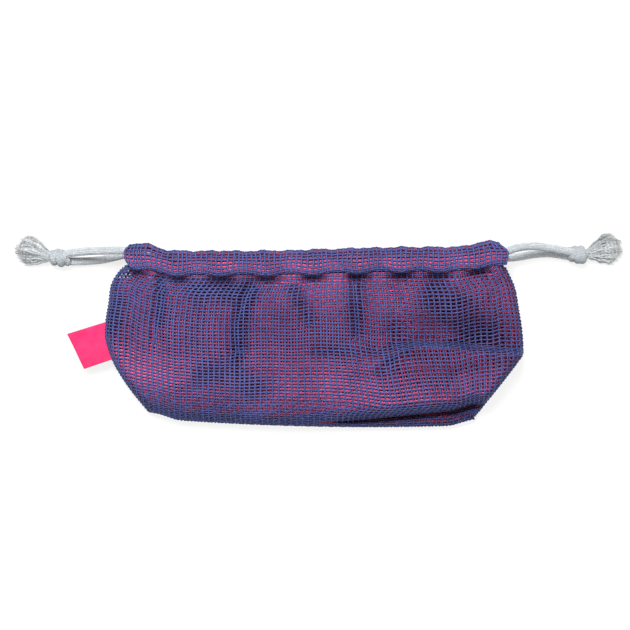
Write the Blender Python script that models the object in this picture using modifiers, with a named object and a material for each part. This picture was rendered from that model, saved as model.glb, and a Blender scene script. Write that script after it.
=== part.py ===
"""Drawstring tissue pouch, lying on its back: open mesh outside, mesh lining, two cords, side label.

Metres, +Z up. X runs across the pouch, +Y points to its mouth, and the back wall lies on z = 0.
"""

import math

import bmesh
import bpy
from mathutils import Matrix, Vector

COLLECTION = "tissue_pouch"
CUTTERS = "cutters"

# Plan of the pouch
BAG_WIDTH = 0.2404
MOUTH_WIDTH = 0.2150
MOUTH_SHIFT = 0.0018
BASE_WIDTH = 0.1854
SEAM_Y = 0.0357
BODY_HEIGHT = 0.0876
BASE_Y = SEAM_Y - BODY_HEIGHT
CORNER_Y = BASE_Y + 0.0054
CORNER_LIFT, CORNER_REACH = 0.0030, 0.0160
SHOULDER_REACH = 0.0060
BASE_BOW = 0.0052
BASE_BOW_CENTRE = 0.030
LEFT_WIDEST_Y = 0.0020
RIGHT_WIDEST_Y = -0.0100
LEFT_SHOULDER, RIGHT_SHOULDER = 0.5, 1.0
LEFT_FLANK, RIGHT_FLANK = 1.6, 1.05
LEFT_END_RISE, RIGHT_END_RISE = 0.0036, 0.0030
END_RISE_START, END_RISE_END = 0.078, 0.102
SEAM_SLOPE_RISE = 0.0022

# Cloth, cord and casing
WALL = 0.0010
LINING_WALL = 0.0008
CLEARANCE = 0.0003
CORD_DIAMETER = 0.0044
CASING_THICKNESS = CORD_DIAMETER + 2 * (WALL + CLEARANCE)
CASING_STRAIGHT = 0.0064
CASING_EASE = 0.0004
CASING_FLARE, CASING_FLARE_REACH = 0.016, 0.0130
STITCH_RISE, STITCH_DIP = 0.0016, 0.0008
FLAP_RISE, FLAP_DIP, FLAP_END = 0.0014, 0.0006, 0.0002
MOUTH_GAP = 0.0080
BACK_CASING_Z = CASING_THICKNESS / 2
FRONT_CASING_Z = BACK_CASING_Z + CASING_THICKNESS + MOUTH_GAP
STRAND_PITCH = CORD_DIAMETER + 2 * CLEARANCE
TURN_INSET = 0.0055
FLAP_SLIT_COLUMNS = 5
GATHER_HEIGHT = 0.0009
GATHER_SCALLOP, SCALLOP_START, SCALLOP_END = 0.0005, 0.0080, 0.0120

# Fullness of the front
EDGE_ROUND = 0.0070
BASE_WRAP = 2 * EDGE_ROUND
SIDE_SEAM_Z = (BACK_CASING_Z + FRONT_CASING_Z) / 2
BASE_SEAM_Z = 0.0048
UPPER_FULLNESS = 0.0225
SHELF_FULLNESS = 0.0280
SHELF_Y, SHELF_SPREAD = -0.0270, 0.0120
CREASE_Y, CREASE_SPREAD, CREASE_DEPTH, CREASE_REACH = -0.0085, 0.0038, 0.0022, 0.0600
SEAM_PINCH_REACH = 0.0120
PLEAT_PITCH, PLEAT_PHASE, PLEAT_DEPTH = 0.0256, -0.0003, 0.0013
PLEAT_REACH, PLEAT_FADE = 0.0330, 0.0030
ROLL_RADIUS = 0.0050
BASE_STRIP_Z = 0.0095
STRIP_START_X, STRIP_FULL_X = -0.0200, 0.0400
STRIP_WIDTH_START, STRIP_WIDTH_END = 0.0030, 0.0085
STRIP_ROUND_SHARE = 0.8

# Open weave of the front wall
OPENING_COLUMNS, OPENING_ROWS = 13, 9
BAND_WIDTH, OPENING_WIDTH = 0.0050, 0.0115
BAND_HEIGHT, OPENING_HEIGHT = 0.0032, 0.0052
WEAVE_LIFT = 0.00035
LINING_COLUMNS, LINING_ROWS = 14, 8
LINING_INSET = 0.0022
LINING_SLACK = 0.0010
LINING_MOUTH_DROP = 0.0060

# Side label
LABEL_WIDTH, LABEL_REACH = 0.0224, 0.0205
LABEL_TILT, LABEL_SKEW = math.radians(19.5), math.radians(6.0)
LABEL_CENTRE_Y, LABEL_ROOT_SHARE = -0.0022, 0.96
LABEL_WALL, LABEL_FOLD_GAP = 0.00035, 0.0005
LABEL_DROOP = 0.0030

# Knots and tassels
KNOT_LENGTH, KNOT_WIDTH, KNOT_THICKNESS = 0.0126, 0.0106, 0.0102
LEFT_KNOT = Vector((-0.1464, 0.0456, 0.0053))
RIGHT_KNOT = Vector((0.1517, 0.0474, 0.0053))
LEFT_TASSEL_LENGTH, RIGHT_TASSEL_LENGTH = 0.0180, 0.0185
TASSEL_ROOT, TASSEL_SPREAD, TASSEL_THICKNESS = 0.0054, 0.0165, 0.0060
TASSEL_FLUTES, FLUTE_DEPTH = 11, 0.16
TASSEL_RISE, TASSEL_RAGGED = 0.0022, 0.0016
KNOT_CORE_WIDTH, KNOT_CORE_HEIGHT = 0.0068, 0.0061
WRAP_SHIFT = 0.0019
WRAP_LEANS = (math.radians(24), math.radians(-30))
WRAP_TURNS = (0.2, 1.3)

# Free stretches of the cords, from the casing to the knot, as chosen points
LEFT_FRONT_STRAND = ((-0.1125, 0.0496, 0.0182), (-0.1210, 0.0494, 0.0157),
                     (-0.1300, 0.0493, 0.0124), (-0.1404, 0.0489, 0.0087))
LEFT_BACK_STRAND = ((-0.1080, 0.0478, 0.0037), (-0.1150, 0.0456, 0.0031), (-0.1225, 0.0443, 0.0024),
                    (-0.1310, 0.0441, 0.0025), (-0.1404, 0.0437, 0.0031))
RIGHT_FRONT_STRAND = ((0.1075, 0.0477, 0.0184), (0.1130, 0.0502, 0.0180), (0.1200, 0.0519, 0.0162),
                      (0.1280, 0.0521, 0.0136), (0.1365, 0.0512, 0.0107), (0.1459, 0.0499, 0.0086))
RIGHT_BACK_STRAND = ((0.1065, 0.0467, 0.0037), (0.1125, 0.0462, 0.0037), (0.1185, 0.0457, 0.0029),
                     (0.1250, 0.0459, 0.0025), (0.1340, 0.0461, 0.0025), (0.1459, 0.0452, 0.0030))
CASING_EXIT = 0.101
CORD_POINT_SPACING = 0.0115
BEND_SPACING = 0.0150


def smooth_ramp(value, start, end):
    """0 before start, 1 past end and an S curve between them."""
    t = min(max((value - start) / (end - start), 0.0), 1.0)
    return t * t * (3 - 2 * t)


def bell(value, centre, spread):
    return math.exp(-(((value - centre) / spread) ** 2))


def quarter_round(distance, radius):
    """Height of a quarter circle, as a share of its radius, at a distance in from the edge."""
    t = min(max(distance / radius, 0.0), 1.0)
    return math.sqrt(1 - (1 - t) ** 2)


def side_half_width(y, widest_y, shoulder, flank):
    """Half width of the plan: a full shoulder above the widest point, a boxed corner below it."""
    if y >= widest_y:
        top = SEAM_Y + SHOULDER_REACH
        rise = min((top - y) / (top - widest_y), 1.0)
        swell = math.sin(math.pi / 2 * max(rise, 0.0)) ** shoulder
        return MOUTH_WIDTH / 2 + (BAG_WIDTH - MOUTH_WIDTH) / 2 * swell
    fall = min((widest_y - y) / (widest_y - CORNER_Y), 1.0)
    return BASE_WIDTH / 2 + (BAG_WIDTH - BASE_WIDTH) / 2 * (1 - fall**flank)


def left_side(y):
    mouth = MOUTH_SHIFT * smooth_ramp(y, LEFT_WIDEST_Y, SEAM_Y)
    return -side_half_width(y, LEFT_WIDEST_Y, LEFT_SHOULDER, LEFT_FLANK) + mouth


def right_side(y):
    mouth = MOUTH_SHIFT * smooth_ramp(y, RIGHT_WIDEST_Y, SEAM_Y)
    return side_half_width(y, RIGHT_WIDEST_Y, RIGHT_SHOULDER, RIGHT_FLANK) + mouth


def seam_line(x):
    """Where the casing's stitching runs: it climbs at both ends of the mouth."""
    left = LEFT_END_RISE * smooth_ramp(-x, END_RISE_START, END_RISE_END)
    right = RIGHT_END_RISE * smooth_ramp(x, END_RISE_START, END_RISE_END)
    return SEAM_Y + SEAM_SLOPE_RISE * smooth_ramp(x, -0.04, 0.06) + left + right


def base_line(x):
    """The lowest edge of the plan, bowed, and rounded up into the boxed corners."""
    bow = BASE_BOW * ((x - BASE_BOW_CENTRE) / (BASE_WIDTH / 2 + BASE_BOW_CENTRE)) ** 2
    corner = CORNER_LIFT * smooth_ramp(abs(x), BASE_WIDTH / 2 - CORNER_REACH, BASE_WIDTH / 2)
    return BASE_Y + bow + corner


def strip_width(x):
    """Width of the base panel that shows below the front's lower fold."""
    return STRIP_WIDTH_START + (STRIP_WIDTH_END - STRIP_WIDTH_START) * smooth_ramp(x, 0.0, BASE_WIDTH / 2)


def strip_round(x):
    """Radius of the base panel's lower edge."""
    return min(EDGE_ROUND, strip_width(x) * STRIP_ROUND_SHARE)


def strip_share(x):
    """0 where the front wraps straight round the base, 1 where it folds over the base panel."""
    return smooth_ramp(x, STRIP_START_X, STRIP_FULL_X)


def edge_height(y):
    """Height of the seam round the sides and the base."""
    return BASE_SEAM_Z + (SIDE_SEAM_Z - BASE_SEAM_Z) * smooth_ramp(y, CORNER_Y, RIGHT_WIDEST_Y)


def fullness(x, y):
    """Height of the front wall without its pleats and its crease."""
    seam = seam_line(x)
    full = UPPER_FULLNESS + (SHELF_FULLNESS - UPPER_FULLNESS) * bell(y, SHELF_Y, SHELF_SPREAD)
    pinch = smooth_ramp(y, seam - SEAM_PINCH_REACH, seam)
    return full + (FRONT_CASING_Z + WALL / 2 - full) * pinch


def folds(x, y):
    """Depth of the pleats below the casing and of the crease across the middle."""
    seam = seam_line(x)
    fade = smooth_ramp(y, seam - PLEAT_REACH, seam - PLEAT_FADE)
    fade *= 1 - smooth_ramp(y, seam - PLEAT_FADE, seam)
    wave = 0.5 + 0.5 * math.cos(2 * math.pi * (x - PLEAT_PHASE) / PLEAT_PITCH)
    crease = CREASE_DEPTH * bell(y, CREASE_Y, CREASE_SPREAD)
    return PLEAT_DEPTH * wave * fade + crease * smooth_ramp(x, -CREASE_REACH, CREASE_REACH)


def back_height(x, y):
    """The back wall lies on the table and lifts a little to the casing's stitching."""
    seam = seam_line(x)
    return (BACK_CASING_Z - WALL / 2) * smooth_ramp(y, seam - SEAM_PINCH_REACH, seam) ** 2


def round_levels(steps):
    """Distances in from an edge, as shares of a radius, that divide a quarter circle evenly."""
    return [1 - math.cos(math.pi / 2 * k / steps) for k in range(steps + 1)]


def lattice_levels(count, band, opening):
    """Shares of a length at the edges of bands and openings, with a band at both ends."""
    total = count * opening + (count + 1) * band
    levels = [0.0, band / total]
    for _ in range(count):
        levels.append(levels[-1] + opening / total)
        levels.append(levels[-1] + band / total)
    return levels


def row_columns(low, high, shares):
    """Places across one row: close together round both side seams, then the given shares."""
    rim = [EDGE_ROUND * share for share in round_levels(3)[:-1]]
    inner = [low + EDGE_ROUND + share * (high - low - 2 * EDGE_ROUND) for share in shares]
    return [low + r for r in rim] + inner + [high - r for r in reversed(rim)]


def plan_row(row_y, shares, inset):
    """One row's plan points, for a row whose height in the plan is row_y(x)."""
    middle = row_y(0.0)
    columns = row_columns(left_side(middle) + inset, right_side(middle) - inset, shares)
    points = []
    for i in range(len(columns)):
        x = columns[i]
        for _ in range(4):
            y = row_y(x)
            x = row_columns(left_side(y) + inset, right_side(y) - inset, shares)[i]
        points.append((x, row_y(x)))
    return points


def wrap_rows(inset):
    """The rows below the lattice: round the base at the left, over the lower fold at the right."""
    plain = round_levels(6)
    roll = round_levels(3)

    def row(step):
        def row_y(x):
            base = base_line(x) + inset
            wrapped = base + BASE_WRAP * plain[6 - step]
            fold = base + strip_width(x)
            if step <= 3:
                folded = fold + ROLL_RADIUS * roll[3 - step]
            else:
                folded = base + strip_round(x) * roll[6 - step]
            return wrapped + (folded - wrapped) * strip_share(x)

        return row_y

    return [row(step) for step in range(1, 7)]


def lattice_end(x, inset):
    base = base_line(x) + inset
    wrapped = base + BASE_WRAP
    folded = base + strip_width(x) + ROLL_RADIUS
    return wrapped + (folded - wrapped) * strip_share(x)


def panel_rows(levels, inset, mouth_drop):
    """Every row from the casing's stitching to the base, as functions of x."""

    def between(share):
        def row_y(x):
            top = seam_line(x) - mouth_drop
            return top + (lattice_end(x, inset) - top) * share

        return row_y

    return [between(share) for share in levels] + wrap_rows(inset)


def side_rounding(x, y, inset):
    inward = min(x - left_side(y) - inset, right_side(y) - inset - x)
    return quarter_round(inward, EDGE_ROUND)


def front_point(x, y, inset, drop, open_share):
    """A point of the front wall; open_share lifts the side edge where the side seam hasn't begun."""
    base = base_line(x) + inset
    top = fullness(x, y) - drop
    wrapped = quarter_round(y - base, BASE_WRAP)
    fold = base + strip_width(x)
    strip = BASE_STRIP_Z - drop
    folded_top = strip + (top - strip) * quarter_round(y - fold, ROLL_RADIUS)
    edge = edge_height(y)
    round_base = quarter_round(y - base, strip_round(x))
    left_z = edge + (top - edge) * wrapped
    right_z = edge + (folded_top - edge) * round_base
    z = left_z + (right_z - left_z) * strip_share(x)
    side = side_rounding(x, y, inset)
    return edge + (z - edge) * (side + (1 - side) * open_share)


def back_point(x, y, inset, lift, open_share):
    base = base_line(x) + inset
    edge = edge_height(y)
    round_base = quarter_round(y - base, EDGE_ROUND)
    side = side_rounding(x, y, inset)
    bottom = back_height(x, y) + lift
    return edge + (bottom - edge) * round_base * (side + (1 - side) * open_share)


def casing_section(gather):
    """The hem's section from its stitching over the top to its free flap, as (height, out) pairs."""
    half = CASING_THICKNESS / 2
    low = half + CASING_EASE
    high = low + CASING_STRAIGHT
    corner_y, corner_z = half * math.cos(math.pi / 6), half / 2
    return [
        (STITCH_RISE, half - STITCH_DIP + gather / 2),
        (low, half + gather),
        (high, half + gather),
        (high + corner_y, corner_z),
        (high + corner_y, -corner_z),
        (high, -half),
        (low, -half),
        (FLAP_RISE, -half + FLAP_DIP),
        (FLAP_END, WALL / 2 - 2 * WALL - CLEARANCE),
    ]


def casing_rows(columns, casing_z, facing):
    """The casing's rows, from the stitching outwards; facing is 1 on the front and -1 on the back."""
    rows = []
    for step in range(len(casing_section(0.0))):
        row = []
        for i, x in enumerate(columns):
            crest = 1.0 if i % 2 else 0.0
            gather = GATHER_HEIGHT * crest if facing > 0 else 0.0
            up, out = casing_section(gather)[step]
            flare = 1 + CASING_FLARE * math.sin(math.pi * min(up / CASING_FLARE_REACH, 1.0))
            scallop = GATHER_SCALLOP * crest * smooth_ramp(up, SCALLOP_START, SCALLOP_END)
            row.append((x * flare, seam_line(x) + up + scallop, casing_z + facing * out))
        rows.append(row)
    return rows


def casing_centre(x):
    """Height in the plan of the middle of the casing's tunnel."""
    return seam_line(x) + CASING_THICKNESS / 2 + CASING_EASE + CASING_STRAIGHT / 2


def material(name, colour, roughness, metallic=0.0):
    made = bpy.data.materials.new(name)
    made.use_nodes = True
    shader = made.node_tree.nodes["Principled BSDF"]
    shader.inputs["Base Color"].default_value = (*colour, 1.0)
    shader.inputs["Roughness"].default_value = roughness
    shader.inputs["Metallic"].default_value = metallic
    return made


def add_object(name, mesh, surface):
    made = bpy.data.objects.new(name, mesh)
    bpy.data.collections[COLLECTION].objects.link(made)
    made.data.materials.clear()
    made.data.materials.append(surface)
    return made


def sheet_object(name, rows, removed, surface, wall):
    """A cloth shell: rows of points as one sheet, welded at its side seams and thickened inwards."""
    work = bmesh.new()
    grid = [[work.verts.new(point) for point in row] for row in rows]
    for j in range(len(grid) - 1):
        for i in range(len(grid[j]) - 1):
            if (j, i) not in removed:
                work.faces.new((grid[j][i], grid[j + 1][i], grid[j + 1][i + 1], grid[j][i + 1]))
    bmesh.ops.remove_doubles(work, verts=work.verts, dist=0.00001)
    loose = [v for v in work.verts if not v.link_faces]
    bmesh.ops.delete(work, geom=loose, context="VERTS")
    merge_flat_faces(work)
    mesh = bpy.data.meshes.new(name)
    work.to_mesh(mesh)
    work.free()
    made = add_object(name, mesh, surface)
    thick = made.modifiers.new("Cloth", "SOLIDIFY")
    thick.thickness = wall
    thick.offset = -1.0
    thick.use_even_offset = True
    thick.use_quality_normals = True
    mesh.shade_smooth()
    mesh.set_sharp_from_angle(angle=math.radians(40))
    return made


def merge_flat_faces(work):
    """The wall that lies on the table becomes one flat face."""
    level = min(v.co.z for v in work.verts)
    flat = [f for f in work.faces if all(abs(v.co.z - level) < 1e-7 for v in f.verts)]
    edges = {e for f in flat for e in f.edges}
    inner = [e for e in edges if all(f in flat for f in e.link_faces) and len(e.link_faces) == 2]
    bmesh.ops.dissolve_edges(work, edges=inner, use_verts=True)


def outer_mesh(surface):
    shares = lattice_levels(OPENING_COLUMNS, BAND_WIDTH, OPENING_WIDTH)
    levels = lattice_levels(OPENING_ROWS, BAND_HEIGHT, OPENING_HEIGHT)
    levels.insert(1, levels[1] / 2)
    row_places = [plan_row(row_y, shares, 0.0) for row_y in panel_rows(levels, 0.0, 0.0)]
    last = len(row_places) - 1
    front, back = [], []
    for j, places in enumerate(row_places):
        open_share = (1.0, 0.5)[j] if j < 2 else 0.0
        front_row, back_row = [], []
        for i, (x, y) in enumerate(places):
            rim = i in (0, len(places) - 1) and j >= 2
            lift = weave_lift(i, j, len(places), len(levels))
            z = front_point(x, y, 0.0, folds(x, y), open_share)
            inner = 0.0 if rim or j == last else lift
            front_row.append((x, y, edge_height(y) if rim or j == last else z + inner))
            back_row.append((x, y, edge_height(y) if rim or j == last
                             else back_point(x, y, 0.0, 0.0, open_share)))
        front.append(front_row)
        back.append(back_row)
    seam_x = [point[0] for point in front[0]]
    front_casing = casing_rows(seam_x, FRONT_CASING_Z, 1)
    back_casing = casing_rows(seam_x, BACK_CASING_Z, -1)
    rows = front_casing[::-1] + front + back[-2::-1] + back_casing
    removed = openings(len(front_casing), len(seam_x)) | flap_slits(len(rows), len(seam_x))
    return sheet_object("outer_mesh", rows, removed, surface, WALL)


def weave_lift(i, j, columns, lattice_rows):
    """Bands pass over and under each other: every other crossing stands proud."""
    if not 3 <= i < columns - 3 or not 2 <= j < lattice_rows:
        return 0.0
    crossing = (i - 3) // 2 + (j - 1) // 2
    return WEAVE_LIFT if crossing % 2 else -WEAVE_LIFT


def openings(first_row, columns):
    """The quads of the front wall that are left open."""
    made = set()
    for row in range(OPENING_ROWS):
        for column in range(OPENING_COLUMNS):
            made.add((first_row + 2 + 2 * row, 4 + 2 * column))
    return made


def flap_slits(rows, columns):
    """The hem's free flap stops short of both ends, where the cord turns from front to back."""
    flap = 4
    made = set()
    for i in range(FLAP_SLIT_COLUMNS):
        for j in range(flap):
            for column in (i, columns - 2 - i):
                made.add((j, column))
                made.add((rows - 2 - j, column))
    return made


def lining_mesh(surface):
    shares = [k / LINING_COLUMNS for k in range(LINING_COLUMNS + 1)]
    levels = [k / LINING_ROWS for k in range(LINING_ROWS + 1)]
    places = [plan_row(row_y, shares, LINING_INSET)
              for row_y in panel_rows(levels, LINING_INSET, LINING_MOUTH_DROP)]
    last = len(places) - 1
    drop = WALL + CLEARANCE + LINING_SLACK + PLEAT_DEPTH
    lift = WALL + 2 * CLEARANCE
    front, back = [], []
    for j, row in enumerate(places):
        front_row, back_row = [], []
        open_share = 0.35 if j == 0 else 0.0
        for i, (x, y) in enumerate(row):
            rim = (i in (0, len(row) - 1) and j >= 1) or j == last
            deep = drop + folds(x, y) * smooth_ramp(-y, 0.0, 0.004)
            edge = edge_height(y)
            front_row.append((x, y, edge if rim else front_point(x, y, LINING_INSET, deep, open_share)))
            back_row.append((x, y, edge if rim else back_point(x, y, LINING_INSET, lift, open_share)))
        front.append(front_row)
        back.append(back_row)
    return sheet_object("lining_mesh", front + back[-2::-1], set(), surface, LINING_WALL)


def side_label(surface):
    """A ribbon folded in two, its ends sewn into the left side seam."""
    out = Vector((-math.cos(LABEL_TILT), -math.sin(LABEL_TILT), 0.0))
    skewed = LABEL_TILT + LABEL_SKEW
    across = Vector((-math.sin(skewed), math.cos(skewed), 0.0))
    root = Vector((left_side(LABEL_CENTRE_Y), LABEL_CENTRE_Y, SIDE_SEAM_Z))
    tip = root + out * LABEL_REACH
    half_gap = (LABEL_WALL + LABEL_FOLD_GAP) / 2
    loop = [(s / 6, half_gap) for s in range(7)]
    loop += [(1 + half_gap / LABEL_REACH * math.sin(a), half_gap * math.cos(a))
             for a in (math.pi / 3, math.pi * 2 / 3)]
    loop += [(s / 6, -half_gap) for s in range(6, -1, -1)]
    rows = []
    for k in range(5):
        side = (k / 4 - 0.5) * LABEL_WIDTH
        root_y = LABEL_CENTRE_Y + side * LABEL_ROOT_SHARE
        start = Vector((left_side(root_y) - CLEARANCE - LABEL_WALL / 2, root_y, SIDE_SEAM_Z))
        end = tip + across * side
        row = []
        for share, up in loop:
            point = start.lerp(end, share)
            point.z = SIDE_SEAM_Z + up - LABEL_DROOP * min(share, 1.0) ** 2
            row.append(point)
        rows.append(row)
    work = bmesh.new()
    grid = [[work.verts.new(point) for point in row] for row in rows]
    for j in range(len(grid) - 1):
        for i in range(len(grid[j]) - 1):
            work.faces.new((grid[j][i], grid[j][i + 1], grid[j + 1][i + 1], grid[j + 1][i]))
    mesh = bpy.data.meshes.new("side_label")
    work.to_mesh(mesh)
    work.free()
    made = add_object("side_label", mesh, surface)
    thick = made.modifiers.new("Ribbon", "SOLIDIFY")
    thick.thickness = LABEL_WALL
    thick.offset = 0.0
    thick.use_even_offset = True
    mesh.shade_smooth()
    return made


def smooth_route(points, spacing):
    """Points on one smooth curve through the given points, closer together where it bends."""
    points = [Vector(p) for p in points]
    fine = []
    for k in range(len(points) - 1):
        before = points[max(k - 1, 0)]
        start, end = points[k], points[k + 1]
        after = points[min(k + 2, len(points) - 1)]
        for step in range(12):
            t = step / 12
            curve = (2 * start + (end - before) * t
                     + (2 * before - 5 * start + 4 * end - after) * t**2
                     + (3 * start - before - 3 * end + after) * t**3) / 2
            fine.append(curve)
    fine.append(points[-1])
    lengths = [0.0]
    for k in range(1, len(fine)):
        run = fine[k] - fine[k - 1]
        bend = run.angle(fine[k + 1] - fine[k]) if k + 1 < len(fine) else 0.0
        lengths.append(lengths[-1] + run.length + BEND_SPACING * bend)
    count = max(round(lengths[-1] / spacing), 2)
    route, k = [], 0
    for step in range(count + 1):
        target = lengths[-1] * step / count
        while k < len(lengths) - 2 and lengths[k + 1] < target:
            k += 1
        share = (target - lengths[k]) / (lengths[k + 1] - lengths[k])
        route.append(fine[k].lerp(fine[k + 1], min(share, 1.0)))
    return route


def turn_centre():
    """How far from the middle a cord starts its turn from the front casing to the back one."""
    return MOUTH_WIDTH / 2 - CORD_DIAMETER / 2 - (FRONT_CASING_Z - BACK_CASING_Z) / 2 - TURN_INSET


def strand_point(x, hand, z):
    """A point of one cord's strand, half a pitch to its own side of the tunnel's middle."""
    slope = (casing_centre(x + 0.001) - casing_centre(x - 0.001)) / 0.002
    side = Vector((-slope, 1.0)).normalized() * STRAND_PITCH / 2 * hand
    return (x + side.x, casing_centre(x) + side.y, z)


def held_route(hand):
    """The stretch in the casings: along the front, round its far end and back along the back."""
    radius = (FRONT_CASING_Z - BACK_CASING_Z) / 2
    far = turn_centre() * hand
    near = -CASING_EXIT * hand
    xs = [near + (far - near) * k / 20 for k in range(21)]
    front = [strand_point(x, hand, FRONT_CASING_Z) for x in xs]
    turn = []
    for k in range(1, 8):
        angle = math.pi * k / 8
        x = far + hand * radius * math.sin(angle)
        turn.append(strand_point(x, hand, SIDE_SEAM_Z + radius * math.cos(angle)))
    back = [(x, y, BACK_CASING_Z) for x, y, _ in reversed(front)]
    return front + turn + back


def drawcord(name, hand, front_strand, back_strand, surface):
    """One cord: from its knot through both casings and back to the knot. hand is 1 for the left."""
    route = list(reversed(front_strand)) + held_route(hand) + list(back_strand)
    points = smooth_route(route, CORD_POINT_SPACING)
    curve = bpy.data.curves.new(name, "CURVE")
    curve.dimensions = "3D"
    curve.bevel_depth = CORD_DIAMETER / 2
    curve.bevel_resolution = 2
    curve.use_fill_caps = True
    spline = curve.splines.new("POLY")
    spline.points.add(len(points) - 1)
    for target, point in zip(spline.points, points):
        target.co = (*point, 1.0)
    return add_object(name, curve, surface)


def torus(major, minor, tilt, turn):
    """One wrap of the knot: a ring round the cord's axis, leaned over and turned."""
    bpy.ops.mesh.primitive_torus_add(
        major_radius=major, minor_radius=minor, major_segments=14, minor_segments=7
    )
    ring = bpy.context.active_object
    lean = Matrix.Rotation(turn, 4, "X") @ Matrix.Rotation(tilt, 4, "Z") @ Matrix.Rotation(math.pi / 2, 4, "Y")
    ring.data.transform(lean)
    return ring


def knot(name, centre, hand, surface):
    """An overhand knot in the doubled cord, drawn tight: two leaning wraps round the core."""
    minor = CORD_DIAMETER / 2
    wide = KNOT_WIDTH / 2 - minor
    bpy.ops.mesh.primitive_uv_sphere_add(segments=12, ring_count=8, radius=1.0)
    core = bpy.context.active_object
    core.data.transform(Matrix.Diagonal((KNOT_LENGTH / 2, KNOT_CORE_WIDTH / 2, KNOT_CORE_HEIGHT / 2, 1.0)))
    rings = [torus(wide * (1, 0.96)[k], minor * (1, 0.95)[k], WRAP_LEANS[k] * hand, WRAP_TURNS[k])
             for k in range(2)]
    rings[0].data.transform(Matrix.Translation((WRAP_SHIFT * hand, 0.0, 0.0)))
    rings[1].data.transform(Matrix.Translation((-WRAP_SHIFT * hand, 0.0, 0.0)))
    for ring in rings:
        join = core.modifiers.new("Wrap", "BOOLEAN")
        join.operation = "UNION"
        join.object = ring
        bpy.data.collections[CUTTERS].objects.link(ring)
        bpy.context.collection.objects.unlink(ring)
        ring.hide_render = True
        ring.display_type = "WIRE"
    bpy.context.view_layer.update()
    evaluated = core.evaluated_get(bpy.context.evaluated_depsgraph_get())
    mesh = bpy.data.meshes.new_from_object(evaluated)
    bpy.data.objects.remove(core)
    for ring in rings:
        bpy.data.objects.remove(ring)
    mesh.name = name
    low = min(v.co.z for v in mesh.vertices)
    high = max(v.co.z for v in mesh.vertices)
    mesh.transform(Matrix.Diagonal((1.0, 1.0, KNOT_THICKNESS / (high - low), 1.0)))
    made = add_object(name, mesh, surface)
    made.location = centre
    mesh.shade_smooth()
    mesh.set_sharp_from_angle(angle=math.radians(50))
    return made


def tassel(name, centre, hand, length, surface):
    """The frayed cord ends below the knot: a fluted brush that spreads flat on the table."""
    flutes = 2 * TASSEL_FLUTES
    start = KNOT_LENGTH / 2 + CLEARANCE
    rows = []
    for step in range(7):
        share = step / 6
        width = TASSEL_ROOT + (TASSEL_SPREAD - TASSEL_ROOT) * share**0.8
        thick = TASSEL_ROOT + (TASSEL_THICKNESS - TASSEL_ROOT) * share
        low = TASSEL_THICKNESS / 2 + CLEARANCE
        middle = centre.z + (low - centre.z) * smooth_ramp(share, 0.0, 0.8)
        ring = []
        for k in range(flutes):
            angle = 2 * math.pi * k / flutes
            groove = 1 - (FLUTE_DEPTH * (0.3 + 0.7 * share) if k % 2 else 0.0)
            ragged = TASSEL_RAGGED * share * math.sin(2.4 * k)
            ring.append((centre.x - hand * (start + length * share + ragged),
                         centre.y + TASSEL_RISE + width / 2 * groove * math.cos(angle),
                         middle + thick / 2 * groove * math.sin(angle)))
        rows.append(ring)
    work = bmesh.new()
    grid = [[work.verts.new(point) for point in row] for row in rows]
    for j in range(len(grid) - 1):
        for i in range(flutes):
            n = (i + 1) % flutes
            work.faces.new((grid[j][i], grid[j][n], grid[j + 1][n], grid[j + 1][i]))
    for ring in (grid[0], grid[-1]):
        middle = sum((v.co for v in ring), Vector()) / flutes
        tip = work.verts.new(middle)
        for i in range(flutes):
            work.faces.new((ring[i], ring[(i + 1) % flutes], tip))
    bmesh.ops.recalc_face_normals(work, faces=work.faces)
    mesh = bpy.data.meshes.new(name)
    work.to_mesh(mesh)
    work.free()
    mesh.shade_smooth()
    mesh.set_sharp_from_angle(angle=math.radians(60))
    return add_object(name, mesh, surface)


def main():
    for old in list(bpy.data.objects):
        bpy.data.objects.remove(old)
    for name in (COLLECTION, CUTTERS):
        made = bpy.data.collections.new(name)
        bpy.context.scene.collection.children.link(made)
    outer_mesh(material("blue_mesh", (0.105, 0.155, 0.400), 0.62))
    lining_mesh(material("pink_mesh", (0.800, 0.100, 0.250), 0.62))
    side_label(material("pink_satin", (0.960, 0.050, 0.200), 0.40))
    grey = (0.520, 0.560, 0.590)
    drawcord("drawcord_left", 1, LEFT_FRONT_STRAND, LEFT_BACK_STRAND, material("left_cord", grey, 0.75))
    drawcord("drawcord_right", -1, RIGHT_FRONT_STRAND, RIGHT_BACK_STRAND,
             material("right_cord", grey, 0.75))
    knot("knot_left", LEFT_KNOT, 1, material("left_knot", grey, 0.75))
    knot("knot_right", RIGHT_KNOT, -1, material("right_knot", grey, 0.75))
    tassel("tassel_left", LEFT_KNOT, 1, LEFT_TASSEL_LENGTH, material("left_tassel", grey, 0.85))
    tassel("tassel_right", RIGHT_KNOT, -1, RIGHT_TASSEL_LENGTH, material("right_tassel", grey, 0.85))


main()
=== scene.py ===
"""Drawstring tissue pouch on white, seen from straight above: yarn nets, braided cords, knots, frayed ends, label."""

import math

import bpy
import numpy as np
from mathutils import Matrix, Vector


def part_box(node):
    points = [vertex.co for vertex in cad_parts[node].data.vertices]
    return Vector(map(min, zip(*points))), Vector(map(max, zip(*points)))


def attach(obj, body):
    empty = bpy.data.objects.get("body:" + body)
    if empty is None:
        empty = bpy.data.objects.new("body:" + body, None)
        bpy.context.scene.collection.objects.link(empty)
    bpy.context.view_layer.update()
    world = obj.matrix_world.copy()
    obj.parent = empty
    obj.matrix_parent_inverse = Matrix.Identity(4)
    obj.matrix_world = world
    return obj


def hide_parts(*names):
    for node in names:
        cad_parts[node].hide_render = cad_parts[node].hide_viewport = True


# Plan of the pouch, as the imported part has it
BAG_WIDTH, MOUTH_WIDTH, MOUTH_SHIFT, BASE_WIDTH = 0.2404, 0.215, 0.0018, 0.1854
SEAM_Y, BASE_Y, CORNER_Y = 0.0357, -0.0519, -0.0465
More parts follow.
